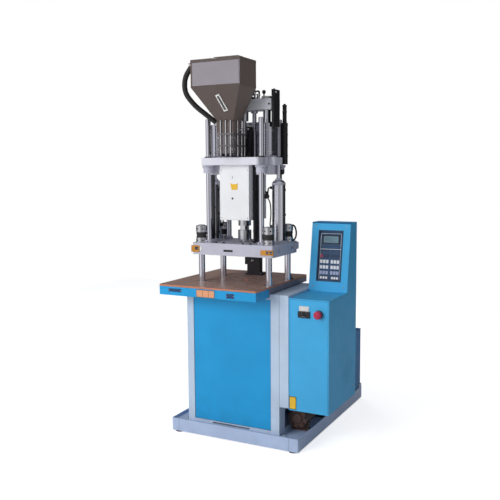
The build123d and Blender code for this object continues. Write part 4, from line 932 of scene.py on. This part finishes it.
def hopper_details():
    lid = Span("hopper_lid")
    # The box above and the neck below, and where its cone begins and ends
    left, right, front, back = -150.0, 150.0, -333.0, -142.0
    neck_half, neck_y, neck_z, cone_z, rim_z, lid_z = 47, -175, 1826, 2007, 2138, 2147.8
    body, slot = "injection", "hopper_brown_grey"
    panel = Piece("hopper_front_panel", body, slot, "hopper_panel")
    panel.box(left + 10, right - 3, front - 1.1, front + 0.5, 2011, 2135, 1.2)
    rim = Piece("hopper_rim", body, slot)
    rim.slabs(((left - 1.2, right + 1.2, front - 1.4, front + 1), (right - 1, right + 1.2, front, back),
               (left - 1.2, left + 1, front, back), (left, right, back - 1, back + 0.9)), rim_z, lid_z, 0.8)
    edge = Piece("hopper_edge_bead", body, "bright_steel", "hopper_panel")
    edge.pipe([(right - 0.6, front + 0.4, z) for z in (2009, 2050, 2100, rim_z)], 1.7)
    welds = Piece("hopper_welds", body, slot)
    neck = [(x, neck_y + y) for x, y in ((-neck_half, -neck_half), (neck_half, -neck_half), (neck_half, neck_half),
                                         (-neck_half, neck_half))]
    rims = [(left, front), (right, front), (right, back), (left, back)]
    for (x0, y0), (x1, y1) in zip(neck, rims):
        welds.pipe([(x0 + (x1 - x0) * t, y0 + (y1 - y0) * t, neck_z + (cone_z - neck_z) * t)
                    for t in (0.01, 0.3, 0.6, 0.99)], 1.5)
    for (x0, y0), (x1, y1) in zip(rims, rims[1:] + rims[:1]):
        welds.pipe([(x0, y0, cone_z), ((x0 + x1) / 2, (y0 + y1) / 2, cone_z), (x1, y1, cone_z)], 1.3)
    screws = Piece("hopper_screws", body, "bright_steel")
    for x, z in pairs((left + 18, right - 12), (2018, 2128)):
        screws.round_screw(facing(FRONT, x, front - 1.1, z), 2.6)
    for x, z in pairs((-111.5, -103.5, 103.5, 111.5), (2128, 2136)):
        screws.round_screw(facing(BACK, x, back + 2.0, z), 2.2)
    turns = [Vector((-208, -300, 2065)), Vector((-212, -296, 1985)), Vector((-166, -268, 1915))]
    start, end = Vector((-149, -300, 2140)), Vector((-48, -175, 1800))
    first = start + (turns[0] - start).normalized() * 20
    last = end + (turns[-1] - end).normalized() * 42
    clips = Piece("hopper_hose_clips", body, "bright_steel")
    clamp_band(clips, start, turns[0], 16)
    clamp_band(clips, end, turns[-1], 36)
    ribs = Piece("hopper_hose_ribs", body, "black_hose")
    hose_rings(ribs, along_hose([first] + turns + [last]))
    slope = (neck_y - neck_half - front) / (cone_z - neck_z)
    z = (cone_z + neck_z) / 2 + 6
    place = (at(14, front + slope * (cone_z - z), z) @ Matrix.Rotation(math.atan(slope), 4, "X")
             @ turned_by(-16, "Y") @ at(0, -3))
    pane = Piece("sight_pane", body, "screen_glass", "dark_glass")
    pane.box(-7.4, 7.4, -0.6, 2.2, -42.8, 42.8, 0.3, place)
    scale = Piece("sight_scale", body, "dark_steel")
    for x in (-2.6, 2.4):
        scale.box(x - 0.4, x + 0.4, -0.9, 0, -40, 40, 0.2, place)
    catch = Piece("lid_catch", "lid", "bright_steel")
    catch.box(-14, 14, front - 1.6, front + 1, lid_z, 2151.2, 0.6)
    catch.turned(button(5, 3, 2, 1), facing(UP, -20, front + 30, lid.z1 - 4.2), 24)


# Console and control box, with the place of its front corner and of the console's slanted face

BOX_FRONT, BOX_LEFT, BOX_RIGHT = -169.0, 357.0, 592.0
CONSOLE_X, CONSOLE_LOW, CONSOLE_HIGH = 474.5, (113, 864), (172, 1259)
ESTOP = facing(FRONT, 534, BOX_FRONT, 787)


def on_console(up=0.0, across=0.0):
    """A place on the slanted face: local X to the right, Y up the slope and Z out of it."""
    lean = math.atan2(CONSOLE_HIGH[0] - CONSOLE_LOW[0], CONSOLE_HIGH[1] - CONSOLE_LOW[1])
    s, c = math.sin(lean), math.cos(lean)
    turn = Matrix(((1, 0, 0), (0, s, -c), (0, c, s))).to_4x4()
    return at(CONSOLE_X + across, CONSOLE_LOW[0] + up * s, CONSOLE_LOW[1] + up * c) @ turn


def console_details():
    face = on_console()
    rim = Piece("console_rim", "machine", "dark_bezel", "screen_dark")
    rim.slabs(((-76, -72, 58, 354), (72, 76, 58, 354), (-76, 76, 350, 354), (-76, 76, 58, 62)), -3, 1.6, 0.9, face)
    sheet = Piece("console_sheet", "machine", "dark_bezel", "screen_dark")
    sheet.box(-66, 66, 64, 262, -11, -8.6, 0.6, face)
    sheet.box(-66, 66, 266, 340, -11, -9.6, 0.6, face)
    band = Piece("display_frame", "machine", "dark_bezel", "black_frame")
    band.slabs(((-53, -45, 276, 327), (45, 53, 276, 327), (-53, 53, 320, 327), (-53, 53, 276, 282)), -9.6, -6.4,
               0.8, face)
    rows = Piece("display_rows", "machine", "screen_glass", "screen_line")
    rows.slabs([(-40, x, u, u + 2.2) for x, u in ((26, 290), (12, 297), (34, 304), (4, 311))],
               -8.1, -7.7, 0.2, face)
    lines = Piece("console_lines", "machine", "white_trim", "pale_key")
    lines.box(-62, 62, 243.5, 246.5, -8.8, -7.6, 0.4, face)
    lines.box(-63, 63, 334, 336, -9.8, -8.8, 0.4, face)
    lines.slabs(((-63, -61, 68, 334), (61, 63, 68, 334)), -9.8, -8.4, 0.4, face)
    pale, dark, lilac = (Piece(key + "s", "machine", "keypad_film", key)
                         for key in ("pale_key", "dark_key", "lilac_key"))
    red = Piece("red_key", "machine", "red_plastic")
    blocks = Piece("key_blocks", "machine", "keypad_film", "dark_key")
    columns = [-52 + i * 18.4 + (10 if i > 2 else 0) for i in range(6)]
    for up, keys, half in ((206, dark, 6.0), (174, pale, 7.6), (142, pale, 7.6), (110, lilac, 7.6)):
        for x in columns:
            key = red if keys is dark and x == columns[0] else keys
            key.box(x - half, x + half, up - 11, up + 9, -8.6, -6.2, 1.0, face)
            key.box(x - half + 2, x + half - 2, up - 8, up + 6, -6.4, -5.7, 0.5, face)
    for x0, x1 in ((-60, -4), (8, 60)):
        blocks.box(x0, x1, 68, 92, -9, -6.6, 1.0, face)
        for i in range(3):
            x = x0 + 5 + i * (x1 - x0 - 6) / 3
            pale.box(x, x + 12, 73, 87, -6.9, -5.8, 0.6, face)
    blocks.slabs([(x - 5.5, x + 5.5, 229, 239) for x in columns], -8.8, -6.4, 0.8, face)
    screws = Piece("console_screws", "machine", "bright_steel")
    for x, up in pairs((-95, 95), (378, 28)):
        screws.round_screw(on_console(up, x), 4.4)
    cap = Piece("console_top_trim", "machine", "blue_paint", "edge_blue")
    cap.box(-117.5, 117.5, 392.5, 399.3, -5, 0.9, 0.6, face)


def box_details():
    front, left, right, low = BOX_FRONT, BOX_LEFT, BOX_RIGHT, Span("control_box").z0
    tag = Piece("plain_tag", "machine", "brass_block", "yellow_enamel")
    tag.box(362, 400, front - 1.0, front + 0.5, 243, 311, 1.0)
    rim = Piece("tag_rim", "machine", "dark_bezel", "black_frame")
    rim.bars(window(362, 400, 243, 311, 2.5), front - 0.8, front + 0.5, 0.3)
    seams = Piece("box_front_seams", "machine", "blue_paint", "edge_blue")
    seams.bars(((left + 5.2, left + 6.6, 240, 858), (left + 5.2, right - 5.2, 856.8, 858.2),
                (right - 6.6, right - 5.2, 240, 858)), front - 0.35, front + 0.5, 0.1)
    x, z = 448.0, 780.0
    black = Piece("switch_frame", "machine", "black_plastic")
    black.bars(((x - 34, x - 13.4, z - 18, z + 18), (x + 13.4, x + 34, z - 18, z + 18),
                (x - 14, x + 14, z + 11.4, z + 18), (x - 14, x + 14, z - 18, z - 11.4)), front - 9.4, front - 1.9,
               1.2)
    black.turned([(22, 0), (23.5, 3), (23.5, 5), (19.4, 6.4), (19.4, 0), (22, 0)], ESTOP)
    label = Piece("switch_label", "machine", "white_trim")
    label.box(x - 26.5, x + 26.5, front - 3.4, front - 1.5, z + 20.5, z + 43.5, 0.9)
    screws = Piece("box_screws", "machine", "bright_steel")
    for screw_x in (x - 23, x + 23):
        screws.round_screw(facing(FRONT, screw_x, front - 3.2, z + 32), 2.4)
    for y, screw_z in pairs((-140, 240), (low + 60, low + 330, low + 590)):
        screws.round_screw(facing(RIGHT, right, y, screw_z), 4.0)
    vents = Piece("box_vents", "machine", "rubber_pad", "seam")
    lips = Piece("box_vent_lips", "machine", "blue_paint")
    for z in range(330, 465, 15):
        vents.box(right - 0.6, right - 0.05, 60, 190, z, z + 4.5, 0.2)
        lips.box(right - 0.5, right, 56, 194, z + 4.6, z + 6.4, 0.3)
    stop = Piece("estop_face", "estop", "red_plastic")
    stop.turned([(0, 33), (17, 33), (19.6, 31.5), (21.2, 28.5), (21.8, 25), (16, 24), (16, 22), (0, 22)], ESTOP, 48)
    stop.turned([(0, 33.2), (9.5, 33.2), (10.5, 32.6), (10.5, 31.0), (0, 31.0)], ESTOP)
    lock = Piece("door_handle", "door", "black_plastic")
    lock.turned(button(14, 4.5, 2, 1.5, 4, 1.5), facing(BACK, 552, 274.4, 749), 32)
    lock.box(549, 555, 277, 284, 726, 772, 2.0)
    lip = Piece("door_pressing", "door", "blue_paint")
    lip.bars(window(381, 568, 295, 1205, 3), 273.6, 275.2, 0.8)
    bolts = Piece("door_hinge_screws", "door", "bright_steel")
    for z in (333, 383, 1115, 1165):
        bolts.round_screw(facing(BACK, 388, 276, z), 2.6)


# Hydraulic power unit and the back

def tank_details():
    left, right, front, back, top = -60.0, 421.0, 520.0, 885.0, 488.0
    rim = Piece("tank_rim", "machine", "tank_blue")
    rim.slabs(((left - 3, right + 1, front - 3, front + 8), (left - 3, right + 1, back - 8, back + 3),
               (left - 3, left + 8, front, back), (right - 8, right + 1, front, back)), top - 5, top + 1.5, 1.2)
    for z in (180, 340):
        rim.box(left - 0.8, left + 1, front + 40, back - 40, z, z + 16, 0.8)
    bolts = Piece("tank_bolts", "machine", "bright_steel")
    for x, y in (pairs((left + 70, left + 155, left + 240), (front + 50, back - 50))
                 + pairs((left + 70, left + 240), (front + 120, (front + back) / 2, back - 120))):
        bolts.hex_bolt(facing(UP, x, y, top + 8), 12)
    bolts.hex_bolt(facing(BACK, right - 50, back, 120), 22)
    gauge = Piece("level_gauge", "machine", "white_trim")
    gauge.box(60, 92, back - 1, back + 9, 250, 440, 3.0)
    glass = Piece("level_glass", "machine", "screen_glass")
    glass.box(69, 83, back + 8, back + 11, 268, 422, 2.0)
    cap = Piece("tank_cap_grip", "machine", "black_plastic")
    cap_x, cap_y = 340, 620
    for angle in even(24):
        place = at(cap_x, cap_y, top + 16) @ turned_by(angle, "Z") @ at(34, 0) @ turned_by(90, "Z")
        cap.box(-2, 2, -1, 1.4, 0, 26, 0.6, place)
    cap.turned([(0, 0), (14, 0), (16, 2), (16, 5), (13, 6), (0, 6)], at(cap_x, cap_y, top + 45.6), 32)
    gasket = Piece("tank_gasket", "machine", "rubber_pad")
    gasket.box(left + 57, left + 253, front + 37, back - 37, top - 0.2, top + 2.0, 0.6)
    flange = Piece("tank_flange", "machine", "bright_steel")
    flange.turned(collar(15, 25, 10, 3, 2), facing(UP, 255, 640, top - 1), 32)


def motor_details():
    x, z, back = -262.0, 184.0, 846.0
    grille = Piece("motor_grille", "machine", "motor_paint", "black_frame")
    for r in (22, 38, 54, 70):
        grille.turned([(r, 0), (r + 5, 0), (r + 5, 3.0), (r, 3.0), (r, 0)], facing(BACK, x, back - 0.5, z), 48)
    for angle in (0, 45, 90, 135):
        grille.box(-78, 78, -2.2, 2.2, 0, 2.6, 0.6, facing(BACK, x, back - 0.4, z) @ turned_by(angle, "Z"))
    grille.turned(button(20, 4.4, 3, 1), facing(BACK, x, back - 0.5, z))
    grille.turned([(87, -46), (89.5, -45), (89.5, -38), (87.5, -37), (87, -46)], facing(BACK, x, back, z), 56)
    top = z + 132
    lid = Piece("terminal_lid", "machine", "motor_paint")
    lid.box(x - 55, x + 55, 617, 723, top - 1, top + 7, 3.0)
    screws = Piece("motor_screws", "machine", "bright_steel")
    for screw_x, y in pairs((x - 46, x + 46), (626, 714)):
        screws.cap_screw(facing(UP, screw_x, y, top + 6.6), 3.8)
    for _, bolt_x, bolt_z in spots(even(8, 22.5), 81, x, z):
        screws.hex_bolt(facing(FRONT, bolt_x, 538, bolt_z), 10)
    for bolt_x, y in pairs((x - 84, x + 84), (612, 728)):
        screws.hex_bolt(facing(UP, bolt_x, y, 80.2), 14)
    cable = Piece("motor_cable", "machine", "black_hose")
    cable.turned([(0, 0), (13, 0), (13, 5), (11, 6), (11, 12), (8, 16), (0, 16)],
                 facing(LEFT, x - 52, 670, z + 104), 28)
    cable.pipe([(x - 64, 670, z + 104), (x - 84, 670, z + 100), (x - 96, 668, z + 60), (x - 98, 660, z - 20),
                (x - 92, 600, 100), (x - 70, 520, 92), (x - 40, 430, 90), (x - 10, 330, 92), (-200, 286, 96)], 6)
    eye = Piece("motor_eye", "machine", "dark_steel")
    eye.turned([(0, 0), (8, 0), (8, 6), (0, 6)], facing(UP, x, 750, z + 88), 24)
    ring = [math.tau * i / 16 for i in range(17)]
    eye.pipe([(x + 13 * math.sin(a), 750, z + 106 - 13 * math.cos(a)) for a in ring], 3.4)


def valve_details():
    y = 356.0
    plugs = Piece("valve_plugs", "machine", "black_plastic")
    coils = Piece("coil_nuts", "machine", "dark_steel")
    screws = Piece("valve_screws", "machine", "bright_steel")
    plates = Piece("valve_plates", "machine", "bright_steel", "white_steel")
    for z in (668, 734, 800):
        for s in BOTH:
            plugs.turned(button(8, 16, 2, 4), facing(DOWN, s * 77, y + 60, z - 14), 24)
            plugs.round_screw(facing(BACK, s * 77, y + 72, z), 3)
            coils.turned([(21, 0), (22.6, 1), (22.6, 8), (21, 9), (21, 0)], facing((s, 0, 0), s * 44, y + 25, z))
            coils.turned([(0, 0), (15, 0), (16, 1.5), (16, 7), (12, 10), (0, 11)],
                         facing((s, 0, 0), s * 97.6, y + 25, z), 32)
        for x, up in pairs((-28, 28), (-15, 15)):
            screws.cap_screw(facing(BACK, x, y + 49.8, z + up), 4.2)
        plates.box(-22, 22, y + 49.5, y + 51.2, z - 8, z + 8, 0.6)
    manifold = Piece("manifold_screws", "machine", "bright_steel")
    for x, z in pairs((-80, 80), (640, 820)):
        manifold.cap_screw(facing(BACK, x, y - 0.2, z), 6)
    for z in (660, 805):
        manifold.turned([(15, 0), (22, 0), (22, 5), (15, 5), (15, 0)], facing(BACK, 0, 120, z), 32)


def fittings_details():
    nuts = Piece("hose_nuts", "machine", "bright_steel")
    turn = Vector((236, 420, 700))
    for start in (Vector((96, 323, 760)), Vector((255, 640, 486))):
        way = (turn - start).normalized()
        nuts.hexagon(38 * math.cos(math.pi / 6), -8, 8, facing(way, *(start + way * 18)), 1.0)
    nuts.turned(collar(12.4, 18, 16, 2), facing(DOWN, -60, 323, 620), 32)


def cooler_details():
    x, z = 362.0, 152.0
    bolts = Piece("cooler_bolts", "machine", "dark_steel")
    for y, way in ((-60, FRONT), (300, BACK)):
        for _, bolt_x, bolt_z in spots(even(8, 10), 49, x, z):
            bolts.hex_bolt(facing(way, bolt_x, y, bolt_z), 8)
    bands = Piece("cooler_bands", "machine", "cooler_rust")
    for y in (20, 200):
        bands.turned([(50.2, -8), (52.2, -7), (52.2, 7), (50.2, 8), (50.2, -8)], facing(BACK, x, y, z), 56)
    bands.turned([(0, 0), (30, 0), (30, 5), (26, 9), (0, 11)], facing(FRONT, x, -60, z))
    pipes = Piece("cooler_pipes", "machine", "black_hose")
    for y in (-7, 243):
        pipes.turned([(14, 56), (17, 57), (17, 68), (19, 69), (19, 74), (14, 75), (14, 56)], at(x, y, z), 32)
        pipes.pipe([(x, y, z + 72), (x, y + 2, z + 92), (x - 12, y + 8, z + 104), (x - 40, y + 12, z + 106),
                    (301, y + 14, z + 100)], 9)


for make_details in (base_details, cabinet_details, apron_details, table_details, clamp_details, corner_details,
                     cylinder_lines, injection_details, feed_details, cover_details, crosshead_details,
                     hopper_details, console_details, box_details, tank_details, motor_details, valve_details,
                     fittings_details, cooler_details):
    make_details()
for detail in Piece.made:
    detail.done()


# Floor, backdrop and light

FLOOR_SIZE = 9.0
FILL = 0.30
# What metal sees around it, by direction: the middle is behind the camera, and the ends are behind the machine
ROOM = ((0.0, 0.06), (0.13, 0.08), (0.20, 0.34), (0.27, 0.86), (0.36, 1.05), (0.42, 0.92), (0.45, 0.34),
        (0.56, 0.36), (0.62, 0.66), (0.67, 0.56), (0.71, 0.04), (0.84, 0.04), (1.0, 0.06))


def make_floor():
    mesh = bpy.data.meshes.new("floor")
    half = FLOOR_SIZE / 2
    corners = [(-half, -half, 0), (half, -half, 0), (half, half, 0), (-half, half, 0)]
    mesh.from_pydata(corners, [], [(0, 1, 2, 3)])
    floor = bpy.data.objects.new("floor", mesh)
    bpy.context.scene.collection.objects.link(floor)
    n = Finish("floor_white")
    grain = n.noise(3.0, 5)
    n.finish(n.mix(n.ramp(grain, 0.3, 0.7), rgb(236, 236, 236), rgb(240, 240, 240)), 0.8, 0.0, grain, 0.001)
    n.put(n.shader.inputs["Emission Color"], (1, 1, 1, 1))
    seen, shone = n.rays("Is Camera Ray", "Is Transmission Ray"), n.rays("Is Glossy Ray")
    n.put(n.shader.inputs["Emission Strength"],
          n.math("ADD", n.math("MULTIPLY", seen, 0.70), n.math("MULTIPLY", shone, 0.02)))
    floor.data.materials.append(n.material)


def area_light(name, place, target, size, power):
    """A soft lamp that polished metal doesn't mirror."""
    data = bpy.data.lights.new(name, "AREA")
    data.shape = "RECTANGLE"
    data.size, data.size_y = size
    data.energy = power
    light = bpy.data.objects.new(name, data)
    light.location = place
    light.rotation_euler = (Vector(target) - Vector(place)).to_track_quat("-Z", "Y").to_euler()
    light.visible_glossy = False
    bpy.context.scene.collection.objects.link(light)


def make_world():
    """White for the camera, an even fill for surfaces, and for metal a white room with dark sides."""
    world = bpy.data.worlds.new("studio")
    bpy.context.scene.world = world
    world.use_nodes = True
    n = Nodes(world.node_tree)
    n.tree.nodes.clear()

    def background(colour, strength=1.0):
        return n.add("ShaderNodeBackground", Color=colour, Strength=strength).outputs[0]

    def blend(share, first, second):
        node = n.add("ShaderNodeMixShader")
        for socket, value in zip(node.inputs, (share, first, second)):
            n.put(socket, value)
        return node.outputs[0]

    parts = n.add("ShaderNodeSeparateXYZ", Vector=n.add("ShaderNodeTexCoord").outputs["Generated"])
    x, y = parts.outputs[0], parts.outputs[1]
    along = n.math("ADD", n.math("MULTIPLY", x, math.sin(YAW)), n.math("MULTIPLY", y, -math.cos(YAW)))
    across = n.math("ADD", n.math("MULTIPLY", x, math.cos(YAW)), n.math("MULTIPLY", y, math.sin(YAW)))
    turn = n.math("ADD", n.math("DIVIDE", n.math("ARCTAN2", across, along), math.tau), 0.5)
    ramp = n.add("ShaderNodeValToRGB", Fac=turn)
    stops = ramp.color_ramp.elements
    while len(stops) < len(ROOM):
        stops.new(0.5)
    for stop, (position, level) in zip(stops, ROOM):
        stop.position = position
        stop.color = (level, level, level * 1.02, 1)
    inner = blend(n.rays("Is Glossy Ray"), background((0.93, 0.96, 1.0, 1), FILL), background(ramp.outputs[0]))
    outer = blend(n.rays("Is Camera Ray", "Is Transmission Ray"), inner, background((1, 1, 1, 1)))
    n.add("ShaderNodeOutputWorld", Surface=outer)


make_floor()
make_world()
area_light("key", (-1.9, -4.9, 2.3), (0, 0, 1.1), (2.6, 2.6), 160)
area_light("top", (-0.8, -1.6, 4.6), (0, 0, 1.2), (2.0, 2.0), 14)
area_light("rim", (3.8, 2.4, 2.6), (0, 0, 1.2), (1.2, 2.4), 4)
area_light("back", (-2.6, 3.6, 2.6), (0, 0, 1.0), (2.0, 2.0), 30)
bpy.context.scene.view_settings.view_transform = "Standard"
